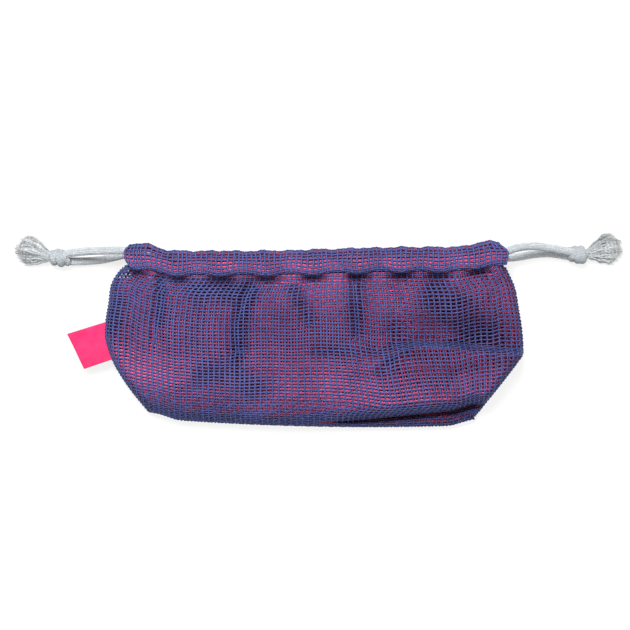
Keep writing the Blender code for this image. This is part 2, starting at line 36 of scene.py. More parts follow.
CORNER_LIFT, CORNER_REACH, SHOULDER_REACH = 0.003, 0.016, 0.006
BASE_BOW, BASE_BOW_CENTRE = 0.0052, 0.03
LEFT_WIDEST_Y, RIGHT_WIDEST_Y = 0.002, -0.01
LEFT_SHOULDER, RIGHT_SHOULDER, LEFT_FLANK, RIGHT_FLANK = 0.5, 1.0, 1.6, 1.05
SLIT_DEPTH, SLIT_START, SLIT_END = 0.006, 0.0985, 0.104
WALL, CLEARANCE, CORD_DIAMETER = 0.001, 0.0003, 0.0044
CASING_THICKNESS = CORD_DIAMETER + 2 * (WALL + CLEARANCE)
CASING_STRAIGHT, CASING_EASE, MOUTH_GAP = 0.0064, 0.0004, 0.008
BACK_CASING_Z = CASING_THICKNESS / 2
FRONT_CASING_Z = BACK_CASING_Z + CASING_THICKNESS + MOUTH_GAP
STRAND_PITCH, CORD_LOOSE_DIAMETER, CORD_RIB = CORD_DIAMETER + 2 * CLEARANCE, 0.0048, 0.001
EDGE_ROUND, SIDE_SEAM_Z, BASE_SEAM_Z = 0.007, (BACK_CASING_Z + FRONT_CASING_Z) / 2, 0.0048
UPPER_FULLNESS, SHELF_FULLNESS = 0.0225, 0.0274
SEAM_PINCH_REACH, BASE_STRIP_Z = 0.012, 0.0095
ROLL_RADIUS, ROLL_DROP, ROLL_LIP, STRIP_DIP, JOINT_RISE = 0.0076, 0.0105, 0.0006, 0.003, 0.0026
GATHER, GATHER_LIMIT, LEFT_FALL = 0.0013, 0.0012, 0.021
STRIP_START_X, STRIP_FULL_X, STRIP_WIDTH_START, STRIP_WIDTH_END = -0.02, 0.04, 0.003, 0.0085
STRIP_ROUND_SHARE = 0.8
LEFT_KNOT, RIGHT_KNOT = (-0.1464, 0.0456, 0.0053), (0.1517, 0.0474, 0.0053)
KNOT_LENGTH = 0.0126
LEFT_FRONT_STRAND = ((-0.1125, 0.0495, 0.0182), (-0.121, 0.0494, 0.0157), (-0.13, 0.0492, 0.0124),
                     (-0.1404, 0.0482, 0.0087), (-0.1432, 0.0472, 0.0075))
LEFT_BACK_STRAND = ((-0.108, 0.0478, 0.0037), (-0.115, 0.0462, 0.0031), (-0.1225, 0.0446, 0.0026),
                    (-0.131, 0.0438, 0.0026), (-0.1404, 0.0436, 0.0031), (-0.1432, 0.044, 0.0038))
RIGHT_FRONT_STRAND = ((0.1075, 0.0477, 0.0184), (0.113, 0.05, 0.018), (0.12, 0.0516, 0.0162),
                      (0.1275, 0.0519, 0.0136), (0.1365, 0.0508, 0.0107), (0.1459, 0.0491, 0.0086),
                      (0.1487, 0.0484, 0.0075))
RIGHT_BACK_STRAND = ((0.1065, 0.0465, 0.0037), (0.1125, 0.0457, 0.0037), (0.1195, 0.0464, 0.0029),
                     (0.127, 0.0477, 0.0026), (0.1365, 0.0482, 0.0026), (0.1459, 0.0468, 0.0031),
                     (0.1487, 0.0466, 0.0038))
CASING_EXIT, TURN_INSET = 0.101, 0.0055
LABEL_WIDTH, LABEL_REACH, LABEL_CENTRE_Y, LABEL_ROOT_SHARE = 0.0224, 0.018, -0.0022, 0.96
LABEL_TILT, LABEL_SKEW, LABEL_DROOP = math.radians(19.5), math.radians(6.0), 0.003
LABEL_GAP, LABEL_ROWS, LABEL_TUCK, LABEL_RIPPLE, LABEL_THICKNESS = 0.00085, 24, (0.0022, 0.0007), 0.00045, 0.00032
TASSEL_SHIFT = {"left": 0.0022, "right": 0.0011}

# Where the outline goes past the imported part: an amount, where it is and how wide
LEFT_BULGE, RIGHT_BULGE = (-0.0022, 0.031, 0.0085), (0.0012, 0.029, 0.0085)

# How the casing's foot and the body's top row climb: an amount, where the climb starts and where it ends
SEAM_SLOPE = (0.0022, -0.04, 0.06)
LEFT_END_RISE, RIGHT_END_RISE = (0.0036, 0.078, 0.102), (0.003, 0.078, 0.102)
LEFT_TOP_RISE, RIGHT_TOP_RISE = (0.0036, 0.0985, 0.1065), (0.0034, 0.101, 0.108)

# How the casing's ends lean in or out with the height over its foot: an amount, a start and an end
CASING_LEFT_END = ((0.0052, 0.0, 0.007), (-0.0026, 0.0095, 0.0135))
CASING_RIGHT_END = ((0.001, 0.0, 0.006), (-0.0052, 0.007, 0.0135))
CASING_LEFT_FOOT, CASING_END_POWER = -0.0034, 7

# The front in the large: an upper panel that sags at the right, and a shelf below it
SHELF_START, SHELF_FULL, SHELF_FAR = 0.012, 0.062, 0.118
SHELF_TOP, SHELF_TOP_STEP, SHELF_TOP_FALL = -0.006, 0.006, 0.0048
SHELF_REACH, SHELF_REACH_CUT, SHELF_LEFT_DROP, SHELF_FALL = 0.018, 0.0122, 0.001, (0.0018, 0.026, 0.042)
PANEL_SAG, PANEL_SAG_TOP = 0.0068, 0.018

# Pleats below the casing, and the crescent under each of its bulges
PLEAT_DEPTH, PLEAT_REACH, PLEAT_END = 0.0014, 0.033, 0.003
CRESCENT_DEPTH, CRESCENT_DROP, CRESCENT_SPREAD, CRESCENT_EASE = 0.0014, 0.0026, 0.0022, (0.6, 0.086, 0.098)
CALM_START, CALM_END = 0.004, 0.016

# Slow drift of the threads: an amplitude, turns along x and y, a start
WAVER_ACROSS = ((0.0005, 52, 31, 0.7), (0.0003, -40, 117, 2.1))
WAVER_ALONG = ((0.00034, 61, -23, 1.3), (0.00024, 143, 37, 0.0))
WAVER_BASE, WAVER_SEAM, WAVER_SIDES = (0.004, 0.016), 0.008, (0.004, 0.02)
CASING_WAVER = ((0.00055, 173, 260, 0.0), (0.00035, 410, 0, 1.7))
CASING_LOBES = ((0.0003, 395, 0, 0.4), (0.00022, 871, 0, 2.0))
CASING_END_LOBES = ((0.0014, -0.0955, 0.0055), (0.0006, 0.101, 0.005))

# How the columns lean over the shelf, and how the rows climb at the left
LEAN, LEAN_TOP, LEAN_START, LEAN_STOP, LEAN_FOOT = 0.16, -0.004, (-0.03, 0.02), (0.066, 0.105), (0.038, 0.046)
SLANT, SLANT_ACROSS, SLANT_LOW, SLANT_HIGH = 4.0, (0.09, 0.121), (-0.03, 0.01), (0.014, 0.036)

# The nets
COLUMN_PITCH, ROW_PITCH, STEP = 0.0033, 0.00203, 0.0002
WARP_WIDTH, WEFT_WIDTH, YARN_THICKNESS, YARN_WAVE = 0.00106, 0.00092, 0.00052, 0.00021
LINING_DROP, LINING_DEEP = 0.00125, 0.0016
LINING_WARP_WIDTH, LINING_WEFT_WIDTH, LINING_WAVE = 0.0006, 0.00122, 0.00012
LINING_BACK_DROP, LINING_BACK_TOP, LINING_CORNER, LINING_EDGE_SHADE = 0.002, 0.003, 0.006, -0.3
LINING_FRONT_INSET, LINING_BACK_INSET, EDGE_THREAD_INSET = 0.0012, 0.0016, 0.0004
OUTER_FRONT_SINK, OUTER_BACK_SINK, OUTER_BACK_DROP = -0.0005, -0.00005, 0.0006
THREAD_TONES, THREE_SIDED_SWELL, TIP_SHARE, TIP_REACH = 0.06, 1.15, 0.05, 0.1
SHOULDER_CUT = (-0.1085, 0.0365, 0.0055, 0.006)
EDGE_THREADS, EDGE_THREAD_SINK, EDGE_THREAD_END = (0.0003, 0.0009, 0.0018, 0.003), 0.0004, 0.0012
GATHER_REACH, GATHER_START, GATHER_END = 0.014, 0.096, 0.115
CASING_CUT, CASING_ROWS, CASING_INSET, CASING_LINING_INSET, CASING_PAINTED_LIGHT = 12, 17, 0.0005, 0.0011, 0.14
CASING_WARP, CASING_WEFT, CASING_LINING_WEFT, CASING_LINING_WAVE = 1.14, 1.1, 0.00142, 0.0001
RIM_TOP, RIM_BASE, RIM_INSET, RIM_RADIUS, RIM_LOOPS = SEAM_Y + 0.004, 0.0008, 0.0006, 0.0007, 190
STITCH_LENGTH, STITCH_PITCH, STITCH_WIDTH = 0.0021, 0.0027, 0.00042
STITCH_OUT, STITCH_LIFT, STITCH_SINK = 0.00115, 0.0003, 0.0022

# Where the casing bulges over its stitching
BULGES = (-0.1019, -0.0781, -0.0535, -0.0273, -0.0002, 0.0252, 0.0498, 0.0711, 0.0935)
BULGE_SPREAD = 0.0076

# Folds of the front: points along each fold's line in millimetres, its half width and its depth
FOLDS = (
    (((-87, 38), (-87.5, 20), (-91, -2)), 3.0, 2.8),
    (((-36, 27), (-43.7, 8), (-43, -7)), 4.6, 4.2),
    (((-43, -9), (-54, -17), (-68, -29)), 5.4, 2.0),
    (((-3.5, 32), (-3.5, 8)), 3.4, 2.2),
    (((23.5, 34), (24.4, 1)), 3.4, 2.8),
    (((49.8, 33), (49.8, 24)), 3.4, 2.0),
    (((43, 2), (47, -7), (40, -19)), 4.2, 2.2),
    (((78, 18), (88, 3)), 10.0, 2.4),
    (((-40, -8), (-14, -9), (20, -8)), 3.4, 0.7),
    (((-72, 6), (-72, 0)), 17.0, -2.2),
    (((-19, 15), (-19, 12)), 11.0, -1.8),
    (((60, -24), (96, -24)), 6.0, 1.6),
)

# Where the lining hangs clear of the front and its threads are painted almost black, painted shade in its cells:
# line, half width, share
CLEAR_LINING = (
    (((-113, 18), (-116, 4)), 5.0, 1.0),
    (((-88, 34), (-88, 8)), 2.6, 0.8),
    (((-66, 28), (-40, 24)), 6.5, 0.9),
    (((-38, 27), (-43, 6), (-44, -12)), 4.2, 0.9),
    (((-62, -22), (-46, -20), (-34, -30)), 7.5, 0.75),
    (((-12, 27), (-3, 10)), 4.0, 0.5),
    (((24, 28), (25, 4)), 4.5, 0.6),
    (((46, 6), (49, -8), (40, -20)), 6.0, 0.5),
    (((70, 24), (84, 12), (98, 0)), 8.0, 1.0),
    (((0, -8), (40, -9)), 3.0, 0.5),
)


def ramp(value, start, end):
    t = np.clip((value - start) / (end - start), 0.0, 1.0)
    return t * t * (3 - 2 * t)


def bell(value, centre, spread):
    return np.exp(-(((value - centre) / spread) ** 2))


def rise(value, amount, start, end):
    return amount * ramp(value, start, end)


def hump(value, amount, centre, spread):
    return amount * bell(value, centre, spread)


def waves(x, y, parts):
    return sum(amount * np.sin(along_x * x + along_y * y + start) for amount, along_x, along_y, start in parts)


def slopes(height, x, y, step):
    """How fast a height changes along x and along y."""
    return ((height(x + step, y) - height(x - step, y)) / (2 * step),
            (height(x, y + step) - height(x, y - step)) / (2 * step))


def quarter(distance, radius):
    t = np.clip(distance / radius, 0.0, 1.0)
    return np.sqrt(np.maximum(1 - (1 - t) ** 2, 0.0))


def run_along(points):
    """Length along a line of points, from nought at the first."""
    return np.concatenate([[0.0], np.cumsum(np.linalg.norm(np.diff(points, axis=0), axis=1))])


def grid_quads(rings, around, closed):
    """Faces between neighbouring rings of points, with the ring and the place that each starts from."""
    j, i = (index.ravel() for index in np.meshgrid(np.arange(rings - 1), np.arange(around - (not closed)),
                                                   indexing="ij"))
    n = (i + 1) % around
    return np.stack([j * around + i, j * around + n, (j + 1) * around + n, (j + 1) * around + i], axis=1), j, i


def unit(vectors):
    return vectors / np.maximum(np.linalg.norm(vectors, axis=-1, keepdims=True), 1e-12)


def side_half_width(y, widest_y, shoulder, flank):
    top = SEAM_Y + SHOULDER_REACH
    drop = np.clip((top - y) / (top - widest_y), 0.0, 1.0)
    upper = MOUTH_WIDTH / 2 + (BAG_WIDTH - MOUTH_WIDTH) / 2 * np.sin(np.pi / 2 * drop) ** shoulder
    fall = np.clip((widest_y - y) / (widest_y - CORNER_Y), 0.0, 1.0)
    lower = BASE_WIDTH / 2 + (BAG_WIDTH - BASE_WIDTH) / 2 * (1 - fall**flank)
    return np.where(y >= widest_y, upper, lower)


def left_side(y):
    shift = MOUTH_SHIFT * ramp(y, LEFT_WIDEST_Y, SEAM_Y) + hump(y, *LEFT_BULGE)
    return shift - side_half_width(y, LEFT_WIDEST_Y, LEFT_SHOULDER, LEFT_FLANK)


def right_side(y):
    shift = MOUTH_SHIFT * ramp(y, RIGHT_WIDEST_Y, SEAM_Y) + hump(y, *RIGHT_BULGE)
    return shift + side_half_width(y, RIGHT_WIDEST_Y, RIGHT_SHOULDER, RIGHT_FLANK)


def seam_line(x):
    """The stitching at the casing's foot."""
    return SEAM_Y + rise(x, *SEAM_SLOPE) + rise(-x, *LEFT_END_RISE) + rise(x, *RIGHT_END_RISE)


def net_top(x):
    """Top row of the body: the seam line, but at both ends it runs on up behind the casing's tucked end."""
    return seam_line(x) + rise(-x, *LEFT_TOP_RISE) + rise(x, *RIGHT_TOP_RISE)


def base_line(x):
    bow = BASE_BOW * ((x - BASE_BOW_CENTRE) / (BASE_WIDTH / 2 + BASE_BOW_CENTRE)) ** 2
    return BASE_Y + bow + CORNER_LIFT * ramp(np.abs(x), BASE_WIDTH / 2 - CORNER_REACH, BASE_WIDTH / 2)


def strip_width(x):
    return STRIP_WIDTH_START + (STRIP_WIDTH_END - STRIP_WIDTH_START) * ramp(x, 0.0, BASE_WIDTH / 2)


def outline_points(top, end, side_count, base_count):
    """The bag's outline in the plan: down the left side, along the base and up the right side."""
    ys, xs = np.linspace(top, end, side_count), np.linspace(-BASE_WIDTH / 2, BASE_WIDTH / 2, base_count)[1:-1]
    return np.concatenate([np.stack([left_side(ys), ys], axis=1), np.stack([xs, base_line(xs)], axis=1),
                           np.stack([right_side(ys), ys], axis=1)[::-1]])


def edge_height(y):
    return BASE_SEAM_Z + (SIDE_SEAM_Z - BASE_SEAM_Z) * ramp(y, CORNER_Y, RIGHT_WIDEST_Y)


def bulge(x):
    return sum(bell(x, centre, BULGE_SPREAD) for centre in BULGES)


def distance_to_line(x, y, line):
    best = np.full(np.broadcast(x, y).shape, 1.0)
    for (ax, ay), (bx, by) in zip(line[:-1], line[1:]):
        run_x, run_y = bx - ax, by - ay
        t = np.clip(((x - ax) * run_x + (y - ay) * run_y) / (run_x**2 + run_y**2), 0.0, 1.0)
        best = np.minimum(best, np.hypot(x - ax - t * run_x, y - ay - t * run_y))
    return best


def near_lines(x, y, lines):
    """Sum of soft bands along lines, each given as points in millimetres, a half width and an amount."""
    total = 0.0
    for line, spread, amount in lines:
        points = [(px / 1000, py / 1000) for px, py in line]
        total = total + amount * bell(distance_to_line(x, y, points), 0.0, spread / 1000)
    return total


def fold_depth(x, y):
    """How far the folds and the pleats below the casing press the front wall in."""
    seam = seam_line(x)
    fade = ramp(y, seam - PLEAT_REACH, seam - PLEAT_END) * (1 - ramp(y, seam - PLEAT_END, seam))
    pleat = PLEAT_DEPTH * fade
    under = hump(y, CRESCENT_DEPTH, seam - CRESCENT_DROP, CRESCENT_SPREAD) * (1 - rise(-x, *CRESCENT_EASE))
    depth = bulge(x) * (pleat + under) + near_lines(x, y, FOLDS) / 1000
    return depth * ramp(y, base_line(x) + CALM_START, base_line(x) + CALM_END)


def joint_rise(x):
    """How proud the stitching at the front casing's foot stands between the bulges."""
    return JOINT_RISE * np.maximum(1 - 1.4 * bulge(x), 0.0)


def broad_shape(x, y):
    """The front's height in the large: an upper panel, and a shelf that stands over it at the right."""
    right = ramp(x, SHELF_START, SHELF_FULL)
    top = SHELF_TOP + SHELF_TOP_STEP * right - rise(x, SHELF_TOP_FALL, SHELF_FULL, SHELF_FAR)
    upper = UPPER_FULLNESS - PANEL_SAG * right * ramp(-y, -PANEL_SAG_TOP, -top)
    shelf = SHELF_FULLNESS - rise(-y, *SHELF_FALL) - SHELF_LEFT_DROP * (1 - right)
    reach = SHELF_REACH - SHELF_REACH_CUT * right
    return upper + (shelf - upper) * ramp(-y, -top, -top + reach)


def crown(x, y, inset, drop, folds=True):
    """Height of the front wall away from its side edges."""
    seam = seam_line(x)
    base = base_line(x) + inset
    full = broad_shape(x, y)
    joint = FRONT_CASING_Z + WALL / 2 + joint_rise(x)
    full = full + (joint - full) * ramp(y, seam - SEAM_PINCH_REACH, seam)
    top = full - drop - (fold_depth(x, y) if folds else 0.0)
    width = strip_width(x)
    fall = y - base - width
    strip = BASE_STRIP_Z - drop - STRIP_DIP * (1 - ramp(-fall, 0.0, 0.003))
    lip = top - ROLL_DROP
    rolled = 1 - np.clip((fall - ROLL_LIP) / ROLL_RADIUS, 0.0, 1.0)
    over, under = top - (top - lip) * rolled * rolled, strip + (lip - strip) * quarter(fall, ROLL_LIP)
    folded = np.where(fall > ROLL_LIP, over, under)
    edge = edge_height(y)
    left = edge + (top - edge) * quarter(y - base, LEFT_FALL)
    right = edge + (folded - edge) * quarter(y - base, np.minimum(EDGE_ROUND, width * STRIP_ROUND_SHARE))
    return left + (right - left) * ramp(x, STRIP_START_X, STRIP_FULL_X)


def floor_side(x, y, inset, lift):
    """Height of the back wall away from its side edges."""
    seam = seam_line(x)
    edge = edge_height(y)
    bottom = (BACK_CASING_Z - WALL / 2) * ramp(y, seam - SEAM_PINCH_REACH, seam) ** 2 + lift
    return edge + (bottom - edge) * quarter(y - base_line(x) - inset, EDGE_ROUND)


def with_sides(height):
    """The same wall rounded over to the side seams."""

    def rounded(x, y, inset, shift):
        inward = np.minimum(x - left_side(y) - inset, right_side(y) - inset - x)
        edge = edge_height(y)
        slit = ramp(y, seam_line(x) - SLIT_DEPTH, seam_line(x)) * (1 - ramp(np.abs(x), SLIT_START, SLIT_END))
        side = quarter(inward, EDGE_ROUND)
        return edge + (height(x, y, inset, shift) - edge) * (side + (1 - side) * slit)

    return rounded


front_wall, back_wall = with_sides(crown), with_sides(floor_side)


class Strands:
    """Tubes gathered into one mesh, with a map along and round each tube and a shade of its own."""

    def __init__(self):
        self.points, self.quads, self.uvs, self.shades, self.count = [], [], [], [], 0

    def add(self, path, normals, width, thick, sides=4, shade=0.0):
        """One tube along a path, closed by a tiny ring at each tip."""
        n = len(path)
        width, thick, shade = (np.pad(np.broadcast_to(value, n).astype(float), 1, "edge")
                               for value in (width, thick, shade))
        width[[0, -1]] *= TIP_SHARE
        thick[[0, -1]] *= TIP_SHARE
        normals = np.pad(np.broadcast_to(normals, (n, 3)), ((1, 1), (0, 0)), "edge")
        tips = path[0] + TIP_REACH * (path[0] - path[1]), path[-1] + TIP_REACH * (path[-1] - path[-2])
        path = np.concatenate([tips[:1], path, tips[1:]])
        n += 2
        tangents = unit(np.gradient(path, axis=0))
        side = unit(np.cross(normals, tangents))
        up = unit(np.cross(tangents, side))
        angles = np.pi / 2 + 2 * np.pi * np.arange(sides) / sides
        ring = (side[:, None] * (np.cos(angles)[None, :, None] * width[:, None, None] / 2)
                + up[:, None] * (np.sin(angles)[None, :, None] * thick[:, None, None] / 2))
        self.points.append((path[:, None] + ring).reshape(-1, 3))
        quads, j, i = grid_quads(n, sides, True)
        self.quads.append(quads[:, ::-1] + self.count)
        along = run_along(path) * 1000
        u = np.stack([along[j], along[j], along[j + 1], along[j + 1]], axis=1)[:, ::-1]
        v = np.stack([i, i + 1, i + 1, i], axis=1)[:, ::-1] / sides
        self.uvs.append(np.stack([u, v], axis=2).reshape(-1, 2))
        self.shades.append(np.repeat(shade, sides))
        self.count += n * sides

    def make(self, name, surface, slot, replaced=()):
        return mesh_object(name, np.concatenate(self.points), np.concatenate(self.quads), surface,
                           replaced, np.concatenate(self.uvs), np.concatenate(self.shades))


def mesh_object(name, points, quads, surface, replaced=(), uvs=None, shades=None):
    mesh = bpy.data.meshes.new(name)
    mesh.vertices.add(len(points))
    mesh.vertices.foreach_set("co", np.asarray(points, np.float32).ravel())
    mesh.loops.add(quads.size)
    mesh.loops.foreach_set("vertex_index", np.asarray(quads, np.int32).ravel())
    mesh.polygons.add(len(quads))
    mesh.polygons.foreach_set("loop_start", np.arange(0, quads.size, quads.shape[1], dtype=np.int32))
    mesh.update(calc_edges=True)
    if uvs is not None:
        layer = mesh.uv_layers.new(name="thread")
        layer.data.foreach_set("uv", np.asarray(uvs, np.float32).ravel())
    if shades is not None:
        attribute = mesh.attributes.new("shade", "FLOAT", "POINT")
        attribute.data.foreach_set("value", np.asarray(shades, np.float32))
    mesh.validate()
    mesh.shade_smooth()
    mesh.materials.append(surface)
    made = bpy.data.objects.new(name, mesh)
    bpy.context.scene.collection.objects.link(made)
    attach(made, "root")
    if replaced:
        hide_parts(*replaced)
    return made


# Materials: each noise as its scale and detail
FILAMENT_NOISE, BLOTCH_NOISE, SATIN_NOISE = (900.0, 3.0), (45.0, 2.0), (260.0, 4.0)
YARN_PLIES, YARN_DARK_AT, YARN_RELIEF, YARN_SPECULAR = 3, 0.35, 0.00008, 0.14
SATIN_DARK, SATIN_PALE, SATIN_RELIEF = (0.76, 0.018, 0.095), (0.9, 0.034, 0.15), 0.00006


def new_material(name):
    made = bpy.data.materials.new(name)
    made.use_nodes = True
    return made, made.node_tree, made.node_tree.nodes["Principled BSDF"]


def feed(tree, node, inputs):
    """Fills a node's inputs: a number or a colour is set there, an output is linked."""
    for key, value in inputs.items():
        if isinstance(value, bpy.types.NodeSocket):
            tree.links.new(value, node.inputs[key])
        else:
            node.inputs[key].default_value = value


def new_node(tree, kind, inputs, **settings):
    made = tree.nodes.new("ShaderNode" + kind)
    for key, value in settings.items():
        setattr(made, key, value)
    feed(tree, made, inputs)
    return made


def maths(tree, operation, *terms):
    return new_node(tree, "Math", dict(enumerate(terms)), operation=operation).outputs[0]


def noise(tree, scale, detail):
    place = new_node(tree, "TexCoord", {}).outputs["Object"]
    return new_node(tree, "TexNoise", {"Vector": place, "Scale": scale, "Detail": detail}).outputs["Fac"]


def between(tree, factor, low, dark, high, colour):
    """A blend from one colour to another as the factor goes from low to high."""
    blend = new_node(tree, "ValToRGB", {"Fac": factor})
    for element, position, tone in zip(blend.color_ramp.elements, (low, high), (dark, colour)):
        element.position, element.color = position, (*tone, 1.0)
    return blend.outputs["Color"]


def relief(tree, height, distance, strength):
    return new_node(tree, "Bump", {"Height": height, "Distance": distance, "Strength": strength}).outputs["Normal"]


def thread_material(name, colour, dark, roughness, blotch=0.6, twist=9.0, grain=0.35):
    """Twisted filament yarn: a slanting twist, fine filaments, and a shade of its own for each thread."""
    made, tree, shader = new_material(name)
    uv = new_node(tree, "UVMap", {}, uv_map="thread").outputs["UV"]
    along, around, _ = new_node(tree, "SeparateXYZ", {0: uv}).outputs
    turned = maths(tree, "MULTIPLY", around, 2 * math.pi * YARN_PLIES)
    wave = maths(tree, "SINE", maths(tree, "MULTIPLY_ADD", along, twist, turned))
    fine, broad = noise(tree, *FILAMENT_NOISE), noise(tree, *BLOTCH_NOISE)
    own = new_node(tree, "Attribute", {}, attribute_name="shade").outputs["Fac"]
    mixed = maths(tree, "MULTIPLY_ADD", wave, grain, maths(tree, "ADD", fine, own))
    mixed = maths(tree, "MULTIPLY_ADD", broad, blotch, mixed)
    feed(tree, shader, {
        "Base Color": between(tree, mixed, YARN_DARK_AT, dark, 1.0, colour),
        "Normal": relief(tree, maths(tree, "MULTIPLY_ADD", wave, 0.5, fine), YARN_RELIEF, 0.8),
        "Roughness": roughness, "Specular IOR Level": YARN_SPECULAR})
    return made


def satin_material():
    """Woven ribbon: fine ribs, and paler and darker patches in its colour."""
    made, tree, shader = new_material("pink_satin")
    uv = new_node(tree, "UVMap", {}, uv_map="thread").outputs["UV"]
    ribs = new_node(tree, "TexWave", {"Vector": uv, "Scale": 0.9, "Distortion": 0.4, "Detail": 2.0},
                    wave_type="BANDS", bands_direction="X").outputs["Fac"]
    feed(tree, shader, {
        "Base Color": between(tree, noise(tree, *SATIN_NOISE), 0.2, SATIN_DARK, 0.8, SATIN_PALE),
        "Normal": relief(tree, ribs, SATIN_RELIEF, 0.7),
        "Roughness": 0.42, "Anisotropic": 0.5, "Specular IOR Level": 0.15})
    return made


# The two nets


def arc_rows(wall, inset, shift, mouth_drop, count):
    """Row lines of a panel, an equal stretch of cloth apart: a range of x, each line's y there, the mean length."""
    xs = np.linspace(-0.13, 0.13, 261)
    share = 1 - np.cos(np.pi / 2 * np.linspace(0, 1, 361))
    top = net_top(xs) - mouth_drop
    base = base_line(xs) + inset
    y = (base + (top - base) * share[:, None])[::-1]
    z = wall(xs + 0 * y, y, inset, shift) if wall is floor_side else crown(xs + 0 * y, y, inset, shift, False)
    run = np.hypot(np.diff(y, axis=0), np.diff(z, axis=0))
    along = np.concatenate([np.zeros((1, len(xs))), np.cumsum(run, axis=0)])
    lines = np.empty((count + 1, len(xs)))
    for i in range(len(xs)):
        lines[:, i] = np.interp(np.arange(count + 1) / count * along[-1, i], along[:, i], y[:, i])
    return xs, lines, float(along[-1].mean())


def line_height(xs, lines, k, x):
    """Plan height of row line k (which may lie between two lines) at x."""
    spot = np.clip((x - xs[0]) / (xs[1] - xs[0]), 0, len(xs) - 1.001)
    i = spot.astype(int)
    f = spot - i
    k = np.clip(k, 0, len(lines) - 1)
    low = np.minimum(k.astype(int), len(lines) - 2)
    g = k - low
    first = lines[low, i] * (1 - f) + lines[low, i + 1] * f
    second = lines[low + 1, i] * (1 - f) + lines[low + 1, i + 1] * f
    return first * (1 - g) + second * g


def column_places(pitch, inset):
    """Where the columns cross the widest row, an equal stretch of cloth apart."""
    t = np.linspace(-1, 1, 2001)
    x = np.sin(np.pi / 2 * t) * (BAG_WIDTH / 2 - inset)
    z = front_wall(x, np.full_like(x, 0.0), inset, 0.0)
    along = run_along(np.stack([x, z], axis=1))
    count = int(round(along[-1] / pitch))
    return np.interp(np.arange(2 * count + 1) / 2 / count * along[-1], along, x)


def waver(x, y):
    """Slow drift of the threads from true, as hand-filled cloth has it: across and along."""
    across, along = waves(x, y, WAVER_ACROSS), waves(x, y, WAVER_ALONG)
    calm = ramp(y - BASE_Y, *WAVER_BASE) * (1 - ramp(y, SEAM_Y - WAVER_SEAM, SEAM_Y))
    calm = calm * ramp(BAG_WIDTH / 2 - np.abs(x), *WAVER_SIDES)
    lean = LEAN * np.maximum(LEAN_TOP - y, 0.0) * ramp(x, *LEAN_START) * (1 - ramp(x, *LEAN_STOP))
    pull = GATHER * np.stack(slopes(fold_depth, x, y, 2 * STEP))
    pull = pull * GATHER_LIMIT / np.maximum(np.hypot(pull[0], pull[1]), GATHER_LIMIT)
    return (across + pull[0]) * calm + lean * (1 - ramp(-y, *LEAN_FOOT)), (along + pull[1]) * calm


def casing_x(reference, up):
    """The casing is narrower than the bag; its ends lean out from the foot and are rounded at the top."""
    share = reference / (BAG_WIDTH / 2)
    left = CASING_LEFT_FOOT + sum(rise(up, *part) for part in CASING_LEFT_END)
    right = sum(rise(up, *part) for part in CASING_RIGHT_END)
    lean = np.where(share < 0, -left, right) * np.abs(share) ** CASING_END_POWER
    return MOUTH_SHIFT + MOUTH_WIDTH / 2 * share + lean


def column_x(reference, y):
    """A column keeps its share of the width above the widest row and runs straight down below it."""
    left = np.where(y > LEFT_WIDEST_Y, left_side(y) / left_side(np.float64(LEFT_WIDEST_Y)), 1.0)
    right = np.where(y > RIGHT_WIDEST_Y, right_side(y) / right_side(np.float64(RIGHT_WIDEST_Y)), 1.0)
    return reference * np.where(reference < 0, left, right)


def slant(x, y):
    """Half rows that the net climbs towards the left side, where the side panel turns outwards."""
    return -SLANT * ramp(-x, *SLANT_ACROSS) * ramp(y, *SLANT_LOW) * (1 - ramp(y, *SLANT_HIGH))


def off_shoulder(x, y):
    """The lining stops short of the left shoulder, so that its cells are open to the table."""
    centre_x, centre_y, half_x, half_y = SHOULDER_CUT
    return ((x - centre_x) / half_x) ** 2 + ((y - centre_y) / half_y) ** 2 > 1


def net_grid(wall, facing, columns, rows, inset, shift, mouth_drop, phase=None, deep=None):
    """Places, normals and a mask at every half column by half row of a panel."""
    height = crown if facing > 0 else floor_side
    xs, lines, _ = arc_rows(height, inset, shift, mouth_drop, 2 * rows)
    reference = columns[:, None] + np.zeros((1, 2 * rows + 1))
    k = np.arange(2 * rows + 1, dtype=float)[None, :] + 0 * reference
    x, y = reference.copy(), np.zeros_like(reference)
    for _ in range(10):
        place = k + (phase(x, y) if phase else 0.0) + (slant(x, y) if facing > 0 else 0.0)
        y = line_height(xs, lines, place, x)
        x = column_x(reference, y)
        gathered = ramp(y, seam_line(x) - GATHER_REACH, seam_line(x))
        gathered = gathered * (1 - ramp(np.abs(reference), GATHER_START, GATHER_END))
        x = x + (casing_x(reference, 0.0) - x) * gathered
    edge = inset + STEP
    inside = (x > left_side(y) + edge) & (x < right_side(y) - edge) & (place > -0.6)
    across, along = waver(x, y)
    x, y = x + across, y + along
    x = np.clip(x, left_side(y) + inset, right_side(y) - inset)
    return surface_points(wall, facing, x, y, inset, shift + (deep(x, y) if deep else 0.0)), inside


def surface_points(wall, facing, x, y, inset, shift):
    """Places on a wall and its normals there."""
    z = wall(x, y, inset, shift)
    slope_x, slope_y = slopes(lambda u, v: wall(u, v, inset, shift), x, y, STEP)
    normals = unit(np.stack([-slope_x, -slope_y, np.ones_like(z)], axis=-1)) * facing
    return np.stack([x, y, z], axis=-1), normals


def span(mask):
    """First and last place where a mask holds, and one more at each end, which lies on the seam."""
    found = np.flatnonzero(mask)
    return (max(found[0] - 1, 0), min(found[-1] + 1, len(mask) - 1)) if len(found) > 2 else None


